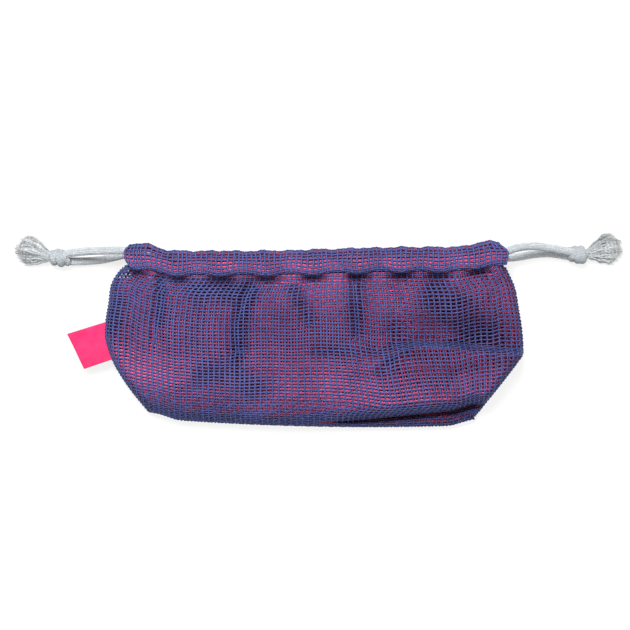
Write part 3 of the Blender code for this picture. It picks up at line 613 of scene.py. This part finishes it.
def edge_threads(strands, wall, facing, inset, shift, width, shade, corner=EDGE_THREAD_END):
    """Threads that run down beside the slanting lower sides, where the cloth turns into the seam."""
    for side, start, sign in ((left_side, LEFT_WIDEST_Y, 1), (right_side, RIGHT_WIDEST_Y, -1)):
        end = max(CORNER_Y, float(base_line(-sign * BASE_WIDTH / 2)) - 0.0004) + corner
        for inward in EDGE_THREADS:
            y = np.linspace(start - 0.001, end, 70)
            x = side(y) + sign * (inset + inward)
            points, normals = surface_points(wall, facing, x, y, inset, shift)
            strands.add(points - normals * EDGE_THREAD_SINK, normals, width, YARN_THICKNESS, 4, shade)


def weave(strands, grid, inside, base_offset, warp, weft, wave, sides, seed, tone_and_painted_light=None, first_row=0):
    """Warp and weft tubes that pass over and under each other at every crossing, each thread with a tone of its own
    and the painted light and shade that it is given.
    """
    points, normals = grid
    if sides == 3:
        warp, weft = warp * THREE_SIDED_SWELL, weft * THREE_SIDED_SWELL
    tones_and_painted_light = tone_and_painted_light(points[..., 0], points[..., 1]) if tone_and_painted_light else np.zeros(points.shape[:2])
    rng = np.random.default_rng(seed)
    c, k = np.meshgrid(np.arange(points.shape[0]), np.arange(points.shape[1]), indexing="ij")
    over = np.where((c % 2 == 0) & (k % 2 == 0), np.where((c // 2 + k // 2) % 2 == 0, 1.0, -1.0), 0.0)
    for axis, width, sign, first in ((0, warp, 1, 0), (1, weft, -1, first_row)):
        for line in range(first, points.shape[axis], 2):
            along = (line, slice(None)) if axis == 0 else (slice(None), line)
            ends = span(inside[along])
            if ends is None:
                continue
            part = slice(ends[0], ends[1] + 1)
            out = normals[along][part]
            lift = base_offset + sign * wave * over[along][part]
            shade = rng.normal(0, THREAD_TONES) + tones_and_painted_light[along][part]
            strands.add(points[along][part] + out * lift[:, None], out, width, YARN_THICKNESS, sides, shade)


def rim(strands, seed):
    """The overlocked side and base seam: a cord of yarn with loops wound round it, all along the outline."""
    rng = np.random.default_rng(seed)
    plan = outline_points(RIM_TOP, float(base_line(-BASE_WIDTH / 2)) + RIM_BASE, 60, 120)
    line = resample(np.column_stack([plan, edge_height(plan[:, 1])]), 560)
    inward = unit(np.array((0.0, -0.004, SIDE_SEAM_Z)) - line) * np.array((1.0, 1.0, 0.0))
    line = line + inward * RIM_INSET
    _, _, up = frames_along(line)
    strands.add(line, up, 0.0011, 0.0012, 6, -0.25)
    fine = resample(line, 4200)
    _, side, up = frames_along(fine)
    angle = np.linspace(0, 2 * np.pi * RIM_LOOPS, len(fine)) + 0.6 * np.sin(np.linspace(0, 60, len(fine)))
    out = side * np.cos(angle)[:, None] + up * np.sin(angle)[:, None]
    strands.add(fine + out * RIM_RADIUS, out, 0.00072, 0.0005, 4, -0.1 + 0.05 * rng.normal())


def outer_panel(wall, facing, columns, rows, sink, drop, sides, seed, edge_shade, tone_and_painted_light=None, first_row=0):
    strands = Strands()
    grid, inside = net_grid(wall, facing, columns, rows, 0.0, drop, 0.0)
    weave(strands, grid, inside, sink, WARP_WIDTH, WEFT_WIDTH, YARN_WAVE, sides, seed, tone_and_painted_light, first_row)
    edge_threads(strands, wall, facing, 0.0, drop, WARP_WIDTH, edge_shade)
    return strands


def lining_panel(wall, facing, columns, rows, inset, drop, top, seed, phase=None, deep=None, tone_and_painted_light=None):
    strands = Strands()
    grid, inside = net_grid(wall, facing, columns, rows, inset, drop, top, phase, deep)
    inside = inside & off_shoulder(grid[0][..., 0], grid[0][..., 1])
    weave(strands, grid, inside, 0.0, LINING_WARP_WIDTH, LINING_WEFT_WIDTH, LINING_WAVE, 3, seed, tone_and_painted_light)
    edge_threads(strands, wall, facing, inset + EDGE_THREAD_INSET, drop, LINING_WEFT_WIDTH, LINING_EDGE_SHADE,
                 LINING_CORNER)
    return strands


# The casings


def spline_points(points, steps):
    """A smooth curve through the given points."""
    points = np.asarray(points, float)
    padded = np.concatenate([points[:1], points, points[-1:]])
    t = np.linspace(0, 1, steps, endpoint=False)[:, None]
    made = []
    for a, b, c, d in zip(padded[:-3], padded[1:-2], padded[2:-1], padded[3:]):
        made.append((2 * b + (c - a) * t + (2 * a - 5 * b + 4 * c - d) * t**2 + (3 * b - a - 3 * c + d) * t**3) / 2)
    return np.concatenate(made + [points[-1:]])


def resample(points, count):
    along = run_along(points)
    wanted = np.linspace(0, along[-1], count)
    return np.stack([np.interp(wanted, along, points[:, a]) for a in range(points.shape[1])], axis=1)


def casing_section(inset):
    """The hem's section from its stitching over the top and back, as heights and outs an equal step apart."""
    half = CASING_THICKNESS / 2
    low = half + CASING_EASE
    high = low + CASING_STRAIGHT
    outline = spline_points(
        [(0.0003, 0.0009), (0.0016, half - 0.0008), (low, half), (high, half),
         (high + half * math.cos(math.pi / 6), half / 2), (high + half * math.cos(math.pi / 6), -half / 2),
         (high, -half), (low, -half), (0.0014, 0.0006 - half), (0.0005, -0.0018)], 12)
    if inset:
        run = unit(np.gradient(outline, axis=0))
        outline = outline - np.stack([-run[:, 1], run[:, 0]], axis=1) * inset
    return outline


def casing_grid(columns, casing_z, facing, rows, inset, phase):
    section = resample(casing_section(inset), 2 * rows + 1 + phase)[phase:]
    run = unit(np.gradient(section, axis=0))
    up, out = section[None, :, 0], section[None, :, 1]
    x = casing_x(columns[:, None], up)
    calm = ramp(up, 0.001, 0.006) * ramp(BAG_WIDTH / 2 - np.abs(x), 0.014, 0.024)
    x = x + waves(x, up, CASING_WAVER) * calm
    swell = bulge(x) * (1 if facing > 0 else 0.5)
    hang = bell(up, 0.003, 0.0042) * (out > 0)
    lobes = sum(hump(x, *part) for part in CASING_END_LOBES) + waves(x, 0.0, CASING_LOBES)
    y = seam_line(x) + up - 0.0022 * swell * hang + (0.0003 * swell + lobes) * ramp(up, 0.007, 0.013)
    proud = joint_rise(x) * bell(up, 0.0, 0.003) * (out > 0) * (facing > 0)
    z = casing_z + proud + facing * (out + 0.001 * swell * bell(up, 0.0045, 0.005) * (out > 0))
    points = np.stack([x, y, z], axis=-1)
    normals = np.stack([0 * x, -run[None, :, 1] + 0 * x, facing * run[None, :, 0] + 0 * x], axis=-1)
    return points, unit(normals)


def casing_weave(strands, columns, casing_z, facing, inset, phase, *threads):
    grid = casing_grid(columns, casing_z, facing, CASING_ROWS, inset, phase)
    weave(strands, grid, np.ones(grid[0].shape[:2], bool), 0.0, *threads)


def stitching(strands, xs, casing_z, facing, seed):
    """A line of lockstitches that holds the hem down."""
    rng = np.random.default_rng(seed)
    x = xs[0]
    while x < xs[1]:
        t = np.linspace(0, 1, 7)
        px = x + t * STITCH_LENGTH
        out = STITCH_OUT + np.sin(np.pi * t) * STITCH_LIFT - STITCH_SINK * bulge(px)
        z = casing_z + joint_rise(px) * (facing > 0) + facing * out
        path = np.stack([px, seam_line(px) + 0.0003, z], axis=1)
        strands.add(path, (0.0, 0.0, facing), STITCH_WIDTH, 0.0004, 6, rng.normal(0, 0.04))
        x += STITCH_PITCH


# Cords: shares of the cord's diameter for its braid, and the ribs that the braid draws up into
BRAID_RADIUS, BRAID_WAVE, BRAID_THICKNESS, BRAID_COVER, BRAID_CORE = 0.385, 0.032, 0.15, 0.56925, 0.76
BRAID_LEAD, RIB_HEIGHT, RIB_SHADE = 0.012, 0.00017, 0.26
HELD_SHARE, HELD_OVERLAP, STRAND_OVERLAP, SPLINE_STEPS = 0.9, 8, 3, 12


def casing_centre(x):
    return seam_line(x) + CASING_THICKNESS / 2 + CASING_EASE + CASING_STRAIGHT / 2


def strand_point(x, hand, z):
    slope = (casing_centre(x + 0.001) - casing_centre(x - 0.001)) / 0.002
    side = Vector((-slope, 1.0)).normalized() * STRAND_PITCH / 2 * hand
    return (x + side.x, casing_centre(x) + side.y, z)


def held_route(hand):
    radius = (FRONT_CASING_Z - BACK_CASING_Z) / 2
    far = (MOUTH_WIDTH / 2 - CORD_DIAMETER / 2 - radius - TURN_INSET) * hand
    near = -CASING_EXIT * hand
    front = [strand_point(near + (far - near) * k / 20, hand, FRONT_CASING_Z) for k in range(21)]
    turn = [strand_point(far + hand * radius * math.sin(angle), hand, SIDE_SEAM_Z + radius * math.cos(angle))
            for angle in np.linspace(0, math.pi, 9)[1:-1]]
    return front, turn, [(x, y, BACK_CASING_Z) for x, y, _ in reversed(front)]


def frames_along(path):
    """Tangents and two normals that don't twist along a path."""
    tangents = unit(np.gradient(path, axis=0))
    first = np.cross(tangents[0], (0.0, 0.0, 1.0))
    if np.linalg.norm(first) < 1e-6:
        first = np.cross(tangents[0], (0.0, 1.0, 0.0))
    sides = [unit(first)]
    for tangent in tangents[1:]:
        sides.append(unit(sides[-1] - tangent * np.dot(sides[-1], tangent)))
    sides = np.array(sides)
    return tangents, sides, np.cross(tangents, sides)


def braid(strands, path, diameter, step=0.00032, carriers=12, seed=1, core=True, tone=-0.04):
    """A round braid along a path: as many threads each way, over one and under one, drawn up into ribs."""
    length = run_along(path)[-1]
    count = max(int(length / step), 8)
    path = resample(path, count)
    _, side, up = frames_along(path)
    s = np.linspace(0, length, count)
    rng = np.random.default_rng(seed)
    width = diameter * math.pi * BRAID_COVER / carriers
    crossing = np.cos(2 * np.pi * carriers * s / BRAID_LEAD)
    ribs = np.cos(2 * np.pi * s / CORD_RIB)
    for way in (1, -1):
        for j in range(carriers):
            angle = way * 2 * math.pi * s / BRAID_LEAD + 2 * math.pi * j / carriers
            out = side * np.cos(angle)[:, None] + up * np.sin(angle)[:, None]
            radius = diameter * (BRAID_RADIUS + way * BRAID_WAVE * crossing) + RIB_HEIGHT * ribs
            shade = rng.normal(0, 0.03) + RIB_SHADE * ribs + tone
            strands.add(path + out * radius[:, None], out, width, diameter * BRAID_THICKNESS, 3, shade)
    # The core is painted darker, painted shade in the gaps between the threads
    if core:
        strands.add(path, up, diameter * BRAID_CORE, diameter * BRAID_CORE, 8, -0.45)
    return path


def cord_pieces(name, hand, front_strand, back_strand, surface):
    """One cord: its run inside the casings, and the two strands between a casing's end and the knot."""
    front, turn, back = held_route(hand)
    route = list(reversed(front_strand)) + front + turn + back + list(back_strand)
    line = spline_points(route, SPLINE_STEPS)
    low = SPLINE_STEPS * len(front_strand)
    high = SPLINE_STEPS * (len(route) - len(back_strand) - 1) + 1
    held = Strands()
    middle = resample(line[low - HELD_OVERLAP:high + HELD_OVERLAP + 1], 330)
    held.add(middle, frames_along(middle)[2], CORD_DIAMETER * HELD_SHARE, CORD_DIAMETER * HELD_SHARE, 12, -0.1)
    around_side = spline_points(front[-3:] + turn + back[:3], 10)
    braid(held, around_side, CORD_DIAMETER, step=0.0005, carriers=8, seed=3, core=False)
    held.make(f"cord_{name}_in_casings", surface, "cord", (f"drawcord_{name}",))
    made = {}
    # The back strands are painted lighter, painted light against the shade that the front strands cast on them
    for where, points, tone in (("front", line[:low + STRAND_OVERLAP][::-1], -0.04),
                                ("back", line[high - STRAND_OVERLAP:], 0.14)):
        strands = Strands()
        path = braid(strands, points, CORD_LOOSE_DIAMETER, seed=len(name) + len(where), tone=tone)
        made[where] = (strands.make(f"cord_{name}_{where}", surface, "cord"), path)
    return made


# Turns of the knots from the tassel side: place along the knot, lean, radius, first angle, sweep, cord share
KNOT_TURNS = {
    "left": ((0.0037, 0.0006, 0.0026, 3.6, 6.9, 0.98), (0.0004, 0.0012, 0.003, 4.2, 7.0, 1.16),
             (-0.0024, 0.0015, 0.0027, 2.4, 6.4, 1.04)),
    "right": ((0.0026, -0.0003, 0.003, 3.9, 6.9, 1.16), (-0.0004, -0.0008, 0.003, 4.4, 7.0, 1.12),
              (-0.0034, -0.001, 0.0024, 2.6, 6.4, 0.98)),
}
KNOT_CORE, KNOT_CORE_WIDTH, KNOT_DRIFT, KNOT_TUCK = (-0.0052, 0.0056), 0.0062, 0.0008, 0.75


def knot_piece(name, centre, hand, surface):
    """An overhand knot pulled tight: turns of the doubled cord round a core, their ends tucked in. The turns are
    painted darker and the core dark, painted shade between the turns.
    """
    strands = Strands()
    for k, (along, lean, radius, first, sweep, share) in enumerate(KNOT_TURNS[name]):
        angle = np.linspace(first, first + sweep, 120)
        from_end = np.minimum(angle - first, first + sweep - angle)
        r = radius * (0.35 + 0.65 * quarter(from_end, KNOT_TUCK))
        u = along + lean * np.cos(angle) + KNOT_DRIFT * (angle - first - sweep / 2) / sweep
        line = np.stack([centre[0] - hand * u, centre[1] + r * np.cos(angle), centre[2] + r * np.sin(angle)], axis=1)
        braid(strands, line, CORD_DIAMETER * share, seed=5 + k + hand, step=0.0004, tone=-0.16)
    core = np.linspace(*KNOT_CORE, 24)
    line = np.stack([centre[0] - hand * core, centre[1] + 0 * core, centre[2] + 0 * core], axis=1)
    strands.add(line, (0.0, 0.0, 1.0), KNOT_CORE_WIDTH, KNOT_CORE_WIDTH, 10, -0.75)
    return strands.make(f"knot_{name}_tied", surface, "cord", (f"knot_{name}",))


# Tassels: locks of fibres in two layers, and single fibres that fly away from them
LOCKS, FIBRES, FLYAWAYS, FIBRE_END, FLYAWAY_WIDTH = 15, 24, 16, (0.92, 0.8, 0.65, 0.45), 0.00013
FAN_DROP, FAN_POWER, FAN_WIDTH, SPREAD_POWER, ROOT_HALF = 0.3, 2.2, 1.06, 1.15, 0.0021
FIBRE_WIDTHS, CRIMPS, CRIMP_TURNS = (0.00017, 0.0003), (0.00022, 0.00042), (1.9, 2.9)


def tassel_piece(name, low, high, root, hand, surface, seed):
    """Unlaid cord ends: crimped locks of fibres that fan out from the knot and settle on the table."""
    rng = np.random.default_rng(seed)
    strands = Strands()
    reach = (root[0] - low[0]) if hand > 0 else (high[0] - root[0])
    middle_y, half_y = (low[1] + high[1]) / 2 + TASSEL_SHIFT[name], (high[1] - low[1]) / 2 * FAN_WIDTH
    t = np.linspace(0, 1, 13)
    spread = np.sin(np.pi / 2 * t) ** SPREAD_POWER
    taper = np.concatenate([np.ones(len(t) - len(FIBRE_END)), FIBRE_END])
    for lock in range(2 * LOCKS):
        fan = np.clip(-1 + 2 * (lock % LOCKS + rng.uniform(0.2, 0.8)) / LOCKS, -1, 1)
        layer = lock // LOCKS
        length = reach * (1.0 - FAN_DROP * abs(fan) ** FAN_POWER) * rng.uniform(0.88, 1.02)
        end_y = middle_y + fan * half_y * rng.uniform(0.9, 1.02)
        start_y, start_z = root[1] + fan * ROOT_HALF, root[2] + (1.4 - 2.4 * layer) * 0.001 * (1 - fan**2)
        end_z = (0.0044 - 0.0034 * layer) * (1 - 0.45 * abs(fan)) + rng.uniform(0, 0.0012)
        crimp, turns, phase = rng.uniform(*CRIMPS), rng.uniform(*CRIMP_TURNS), rng.uniform(0, 6.28)
        tone = rng.normal(0.08, 0.12)
        for _ in range(FIBRES):
            off_y = rng.normal(0, 0.0003)
            off_z = rng.normal(0, 0.00018) + 0.0003 - abs(off_y)
            own = rng.uniform(0.9, 1.03)
            stray = rng.normal(0, 0.0006) * t**3
            wave = crimp * np.clip(3 * t, 0, 1) * np.sin(turns * 2 * np.pi * t + phase + rng.normal(0, 0.2))
            x = root[0] - hand * length * own * t
            y = start_y + (end_y - start_y) * spread + (0.6 + t) * off_y + wave + stray
            z = start_z + (end_z - start_z) * ramp(t, 0.0, 0.9) + (0.6 + t) * off_z + wave * 0.5
            thick = rng.uniform(*FIBRE_WIDTHS) * taper
            path = np.stack([x, y, np.maximum(z, 0.0003)], axis=1)
            # Painted shade at each lock's edges, where the locks part; the fibres also go darker towards the knot and
            # paler towards the tips
            shade = tone + rng.normal(0.0, 0.08) - 1100 * abs(off_y) - 0.2 * (1 - t) ** 2 + 0.35 * t**2
            strands.add(path, (0.0, 0.0, 1.0), thick, thick, 3, shade)
    for _ in range(FLYAWAYS):
        fan = rng.uniform(-1, 1)
        length = reach * (1.04 - FAN_DROP * abs(fan) ** FAN_POWER)
        bow = rng.normal(0, 0.0012) * np.sin(np.pi * t)
        x = root[0] - hand * length * t
        y = root[1] + (middle_y + fan * half_y * 1.12 - root[1]) * spread + bow
        path = np.stack([x, y, 0.0012 + 0.004 * (1 - t) + 0.001 * rng.random() * t], axis=1)
        strands.add(path, (0.0, 0.0, 1.0), FLYAWAY_WIDTH, FLYAWAY_WIDTH, 3, 0.2)
    return strands.make(f"tassel_{name}_frayed", surface, "cord_fray", (f"tassel_{name}",))


# The label


def label_piece(surface):
    """A ribbon folded in two, its ends sewn into the left side seam."""
    out = np.array((-math.cos(LABEL_TILT), -math.sin(LABEL_TILT)))
    skewed = LABEL_TILT + LABEL_SKEW
    across = np.array((-math.sin(skewed), math.cos(skewed)))
    root = np.array((float(left_side(np.float64(LABEL_CENTRE_Y))), LABEL_CENTRE_Y))
    tip = root + out * LABEL_REACH
    half = LABEL_GAP / 2
    loop = [(s / 30, half) for s in range(31)]
    loop += [(1 + half / LABEL_REACH * math.sin(a), half * math.cos(a)) for a in np.linspace(0, math.pi, 9)[1:-1]]
    loop += [(s / 30, -half) for s in range(30, -1, -1)]
    loop = np.array(loop)
    points, along, share = [], run_along(loop * (LABEL_REACH, 1.0)), loop[:, 0]
    for k in range(LABEL_ROWS + 1):
        side = (k / LABEL_ROWS - 0.5) * LABEL_WIDTH
        root_y = LABEL_CENTRE_Y + side * LABEL_ROOT_SHARE
        start = np.array((float(left_side(np.float64(root_y))), root_y)) + LABEL_TUCK
        plan = start + (tip + across * side - start) * share[:, None]
        wave = LABEL_RIPPLE * np.sin(2.2 * np.pi * k / LABEL_ROWS + 0.6) * np.clip(share, 0, 1) ** 2
        z = SIDE_SEAM_Z + loop[:, 1] - LABEL_DROOP * np.minimum(share, 1.0) ** 2 + wave
        points.append(np.column_stack([plan, z]))
    points = np.array(points)
    quads, j, i = grid_quads(*points.shape[:2], False)
    u = np.stack([along[i], along[i + 1], along[i + 1], along[i]], axis=1) * 1000
    v = np.stack([j, j, j + 1, j + 1], axis=1) / LABEL_ROWS * LABEL_WIDTH * 1000
    made = mesh_object("side_label_ribbon", points.reshape(-1, 3), quads, surface,
                       ("side_label",), np.stack([u, v], axis=2).reshape(-1, 2))
    thick = made.modifiers.new("Ribbon", "SOLIDIFY")
    thick.thickness = LABEL_THICKNESS
    thick.offset = 0.0
    return made


# Surroundings
TABLE_Z, TABLE_SPREAD, TABLE_DARK_INSET, TABLE_MARGIN, TABLE_SHOULDER = -0.0005, 25, 0.0016, 0.0004, 0.009
TABLE_GREY, TABLE_GLOW, WORLD_GLOW, WORLD_LIGHT = (0.24, 0.24, 0.24, 1.0), 0.765, 0.64, 0.36
CAMERA_PLACE, CAMERA_LENS = (0.0006, 0.0126, 1.2), 118.3


def seen_share(tree, factor, rest):
    """One value where the camera, gloss or glass sees a surface, another where it lights the rest."""
    rays = new_node(tree, "LightPath", {}).outputs
    either = maths(tree, "MAXIMUM", rays["Is Camera Ray"], rays["Is Glossy Ray"])
    either = maths(tree, "MAXIMUM", either, rays["Is Transmission Ray"])
    return maths(tree, "MULTIPLY_ADD", either, factor, rest)


def area_light(name, place, size, power):
    data = bpy.data.lights.new(name, "AREA")
    data.shape = "DISK"
    data.size = size
    data.energy = power
    made = bpy.data.objects.new(name, data)
    bpy.context.scene.collection.objects.link(made)
    made.location = place
    made.rotation_euler = (-Vector(place)).to_track_quat("-Z", "Y").to_euler()


def white_table():
    """A table that is white to the camera by its own glow, which is kept off below the bag."""
    outline = outline_points(0.048, float(base_line(-BASE_WIDTH / 2)), 40, 60)
    outline = np.concatenate([outline, [(0.06, 0.05), (0.0, 0.049), (-0.06, 0.048)]])
    around = len(outline)
    along_edge = unit(np.roll(outline, -1, axis=0) - np.roll(outline, 1, axis=0))
    inward = np.stack([-along_edge[:, 1], along_edge[:, 0]], axis=1)
    shoulder = TABLE_SHOULDER * (bell(outline[:, 0], -0.108, 0.006) * bell(outline[:, 1], 0.037, 0.005))[:, None]
    dark, glowing = outline + inward * (TABLE_DARK_INSET + shoulder), outline + inward * (shoulder - TABLE_MARGIN)
    points = np.concatenate([dark, glowing, outline * TABLE_SPREAD])
    faces = [tuple(range(around))]
    for low in (0, around):
        for k in range(around):
            n = (k + 1) % around
            faces.append((low + n, low + k, low + around + k, low + around + n))
    mesh = bpy.data.meshes.new("table")
    mesh.from_pydata(np.column_stack([points, np.full(len(points), TABLE_Z)]).tolist(), [], faces)
    glow = mesh.attributes.new("open", "FLOAT", "POINT")
    glow.data.foreach_set("value", (np.arange(len(points)) >= around).astype(np.float32))
    made = bpy.data.objects.new("table", mesh)
    bpy.context.scene.collection.objects.link(made)
    white, tree, shader = new_material("table_white")
    uncovered = new_node(tree, "Attribute", {}, attribute_name="open").outputs["Fac"]
    feed(tree, shader, {
        "Base Color": TABLE_GREY, "Roughness": 0.9, "Specular IOR Level": 0.0,
        "Emission Color": (1.0, 0.997, 0.99, 1.0),
        "Emission Strength": maths(tree, "MULTIPLY", seen_share(tree, TABLE_GLOW, 0.0), uncovered)})
    mesh.materials.append(white)
    return made


# How the lining hangs behind the front, and where shade and light are painted on the cloth


def lining_phase(x, y):
    return 0.95 + 0.18 * np.sin(38 * x + 1.1) * np.sin(61 * y + 0.4)


def lining_clear(x, y):
    return np.clip(near_lines(x, y, CLEAR_LINING), 0.0, 1.0)


def steepness(x, y):
    """How steeply the front falls along y."""
    return np.abs(slopes(lambda u, v: front_wall(u, v, 0.0, 0.0), x, y, 0.0003)[1])


def crescent(x, y):
    """The shade below each bulge of the casing."""
    return np.minimum(bulge(x), 1.0) * bell(y, seam_line(x) - 0.0028, 0.0022)


def crevice(x, y):
    """The shade where the front rolls over the base strip."""
    fall = y - base_line(x) - strip_width(x)
    return ramp(x, 0.000, 0.03) * ramp(fall, -0.003, -0.0008) * (1 - ramp(fall, 0.0005, 0.0016))


def lining_deep(x, y):
    steep = np.minimum(steepness(x, y), 2.4)
    held = 1 - ramp(y, seam_line(x) - 0.0085, seam_line(x) - 0.004)
    sunk = LINING_DROP * (np.sqrt(1 + steep**2) - 1) * 1.1 * held
    return LINING_DEEP * lining_clear(x, y) * (0.3 + 0.7 * held) + sunk - 0.0004 * (1 - held)


# Painted shade and light on the lining's threads: almost black where it hangs clear of the front and where the front
# falls steeply, darker or lighter in the places that LINING_SHADES lists, and a little darker low in the middle
def lining_painted_shade_and_light(x, y):
    steep = ramp(steepness(x, y), 0.7, 1.5)
    shade = 0.9 * np.maximum(lining_clear(x, y), steep) + shade_at(x, y, LINING_SHADES)
    return -shade - 0.17 * bell(x, -0.002, 0.036) * bell(y, -0.021, 0.012)


def base_strip(x, y):
    """The strip of the base that shows below the fold, in the fold's shade."""
    return ramp(x, 0.000, 0.03) * (1 - ramp(y - base_line(x) - strip_width(x), -0.001, 0.0))


def lit_corner(x, y):
    """The lower left, which turns towards the light and has painted light on its threads."""
    return bell(x, -0.086, 0.03) * bell(y, -0.02, 0.021)


def hollow(x, y):
    """The sunken part of the upper panel, where shade is painted on the threads."""
    return bell(x, 0.08, 0.03) * bell(y, 0.009, 0.012)


# How much painted shade darkens the outer threads and the lining's in each of the places above; a negative amount is
# painted light, which makes them lighter
OUTER_SHADES = ((crescent, 0.5), (crevice, 0.55), (base_strip, 0.22), (hollow, 0.26), (lit_corner, -0.12))
LINING_SHADES = ((crescent, 1.0), (crevice, 1.0), (base_strip, 0.35), (hollow, 0.3), (lit_corner, -0.3))


def shade_at(x, y, shades):
    return sum(amount * place(x, y) for place, amount in shades)


def casing_tint(x, y):
    return -0.1 + 0.22 * np.sin(230 * x + 310 * y) * np.sin(97 * x)


# Painted light and shade on the front's outer threads: lighter where the front falls steeply, darker or lighter in
# the places that OUTER_SHADES lists
def outer_painted_shade_and_light(x, y):
    return 0.1 * ramp(steepness(x, y), 0.9, 1.6) - shade_at(x, y, OUTER_SHADES)


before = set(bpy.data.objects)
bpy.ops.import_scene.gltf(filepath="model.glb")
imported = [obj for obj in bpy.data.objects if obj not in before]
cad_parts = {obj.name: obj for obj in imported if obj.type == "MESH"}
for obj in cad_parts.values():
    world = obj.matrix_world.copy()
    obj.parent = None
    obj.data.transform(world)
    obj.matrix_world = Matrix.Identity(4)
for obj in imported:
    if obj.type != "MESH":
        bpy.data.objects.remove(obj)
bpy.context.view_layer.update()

camera_data = bpy.data.cameras.new("camera")
camera_data.sensor_width = 36.0
camera_data.lens = CAMERA_LENS
camera = bpy.data.objects.new("camera", camera_data)
camera.location = CAMERA_PLACE
bpy.context.scene.collection.objects.link(camera)
bpy.context.scene.camera = camera

blue = thread_material("blue_net_yarn", (0.082, 0.098, 0.285), (0.012, 0.014, 0.06), 0.45)
pink = thread_material("pink_net_yarn", (0.93, 0.108, 0.24), (0.055, 0.003, 0.012), 0.5)
cord_grey = thread_material("cord_yarn", (0.715, 0.745, 0.765), (0.38, 0.408, 0.43), 0.78, 0.1, 4.0, 0.12)
fray_grey = thread_material("frayed_fibre", (0.92, 0.935, 0.94), (0.48, 0.51, 0.525), 0.75, 0.1, 3.0, 0.1)

left_cord = cord_pieces("left", 1, LEFT_FRONT_STRAND, LEFT_BACK_STRAND, cord_grey)
right_cord = cord_pieces("right", -1, RIGHT_FRONT_STRAND, RIGHT_BACK_STRAND, cord_grey)
knots = {"left": knot_piece("left", LEFT_KNOT, 1, cord_grey), "right": knot_piece("right", RIGHT_KNOT, -1, cord_grey)}
for side, hand, knot_place, seed in (("left", 1, LEFT_KNOT, 11), ("right", -1, RIGHT_KNOT, 12)):
    low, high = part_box(f"tassel_{side}")
    start = (knot_place[0] - hand * (KNOT_LENGTH / 2 - 0.001), knot_place[1] + 0.0005, knot_place[2])
    tassel_piece(side, low, high, start, hand, fray_grey, seed)

# Nets
outer_columns, lining_columns = column_places(COLUMN_PITCH, 0.0), column_places(COLUMN_PITCH, 0.0022)
front_rows = int(round(arc_rows(crown, 0.0, 0.0, 0.0, 4)[2] / ROW_PITCH))
back_rows = int(round(arc_rows(floor_side, 0.0, 0.0, 0.0, 4)[2] / ROW_PITCH))
outer = outer_panel(front_wall, 1, outer_columns, front_rows, OUTER_FRONT_SINK, 0.0, 5, 21, -0.1, outer_painted_shade_and_light, 2)
rim(outer, 23)
outer_front = outer.make("outer_net_front", blue, "outer_mesh", ("outer_mesh",))
outer = outer_panel(back_wall, -1, outer_columns, back_rows, OUTER_BACK_SINK, OUTER_BACK_DROP, 3, 22, 0.0)
outer_back = outer.make("outer_net_back", blue, "outer_mesh", ("outer_mesh",))
lining = lining_panel(front_wall, 1, lining_columns, front_rows, LINING_FRONT_INSET, LINING_DROP, 0.0, 31,
                      lining_phase, lining_deep, lining_painted_shade_and_light)
lining_front = lining.make("lining_net_front", pink, "lining_mesh", ("lining_mesh",))
lining = lining_panel(back_wall, -1, lining_columns, back_rows, LINING_BACK_INSET, LINING_BACK_DROP,
                      LINING_BACK_TOP, 32)
lining_back = lining.make("lining_net_back", pink, "lining_mesh", ("lining_mesh",))

# Casings: the bag's columns, but for the outermost, which are drawn in to the casing's ends
kept = outer_columns[CASING_CUT:-CASING_CUT]
extra = int((BAG_WIDTH / 2 - kept[-1]) / (COLUMN_PITCH / 2)) // 2 * 2
steps = np.linspace(0, 1, extra + 1)[1:]
casing_columns = np.concatenate([
    (kept[0] + (-BAG_WIDTH / 2 - kept[0]) * steps)[::-1], kept, kept[-1] + (BAG_WIDTH / 2 - kept[-1]) * steps])
# Both casings' outer threads are painted lighter all over, painted light on the rounded hem
for name, z, facing, seed in (("front", FRONT_CASING_Z, 1, 41), ("back", BACK_CASING_Z, -1, 42)):
    net = Strands()
    casing_weave(net, casing_columns, z, facing, CASING_INSET, 0, WARP_WIDTH * CASING_WARP,
                 WEFT_WIDTH * CASING_WEFT, YARN_WAVE, 4, seed, lambda x, y: np.full_like(x, CASING_PAINTED_LIGHT))
    stitching(net, (-0.106, 0.1085), z, facing, seed + 10)
    net.make(f"casing_{name}", blue, "outer_mesh", ("outer_mesh",))
    net = Strands()
    casing_weave(net, casing_columns * 0.998, z, facing, CASING_LINING_INSET, 1, LINING_WARP_WIDTH,
                 CASING_LINING_WEFT, CASING_LINING_WAVE, 3, seed + 5, casing_tint)
    net.make(f"casing_lining_{name}", pink, "lining_mesh")

label = label_piece(satin_material())

# Table, lights and world
table = white_table()
area_light("key", (-0.25, 0.8, 1.45), 0.8, 40.0)
area_light("fill", (0.3, -0.7, 1.5), 1.0, 10.0)
world = bpy.data.worlds.new("studio")
world.use_nodes = True
tree = world.node_tree
feed(tree, tree.nodes["Background"], {
    "Color": (1.0, 1.0, 1.0, 1.0), "Strength": seen_share(tree, WORLD_GLOW, WORLD_LIGHT)})
bpy.context.scene.world = world
bpy.context.scene.view_settings.view_transform = "Standard"
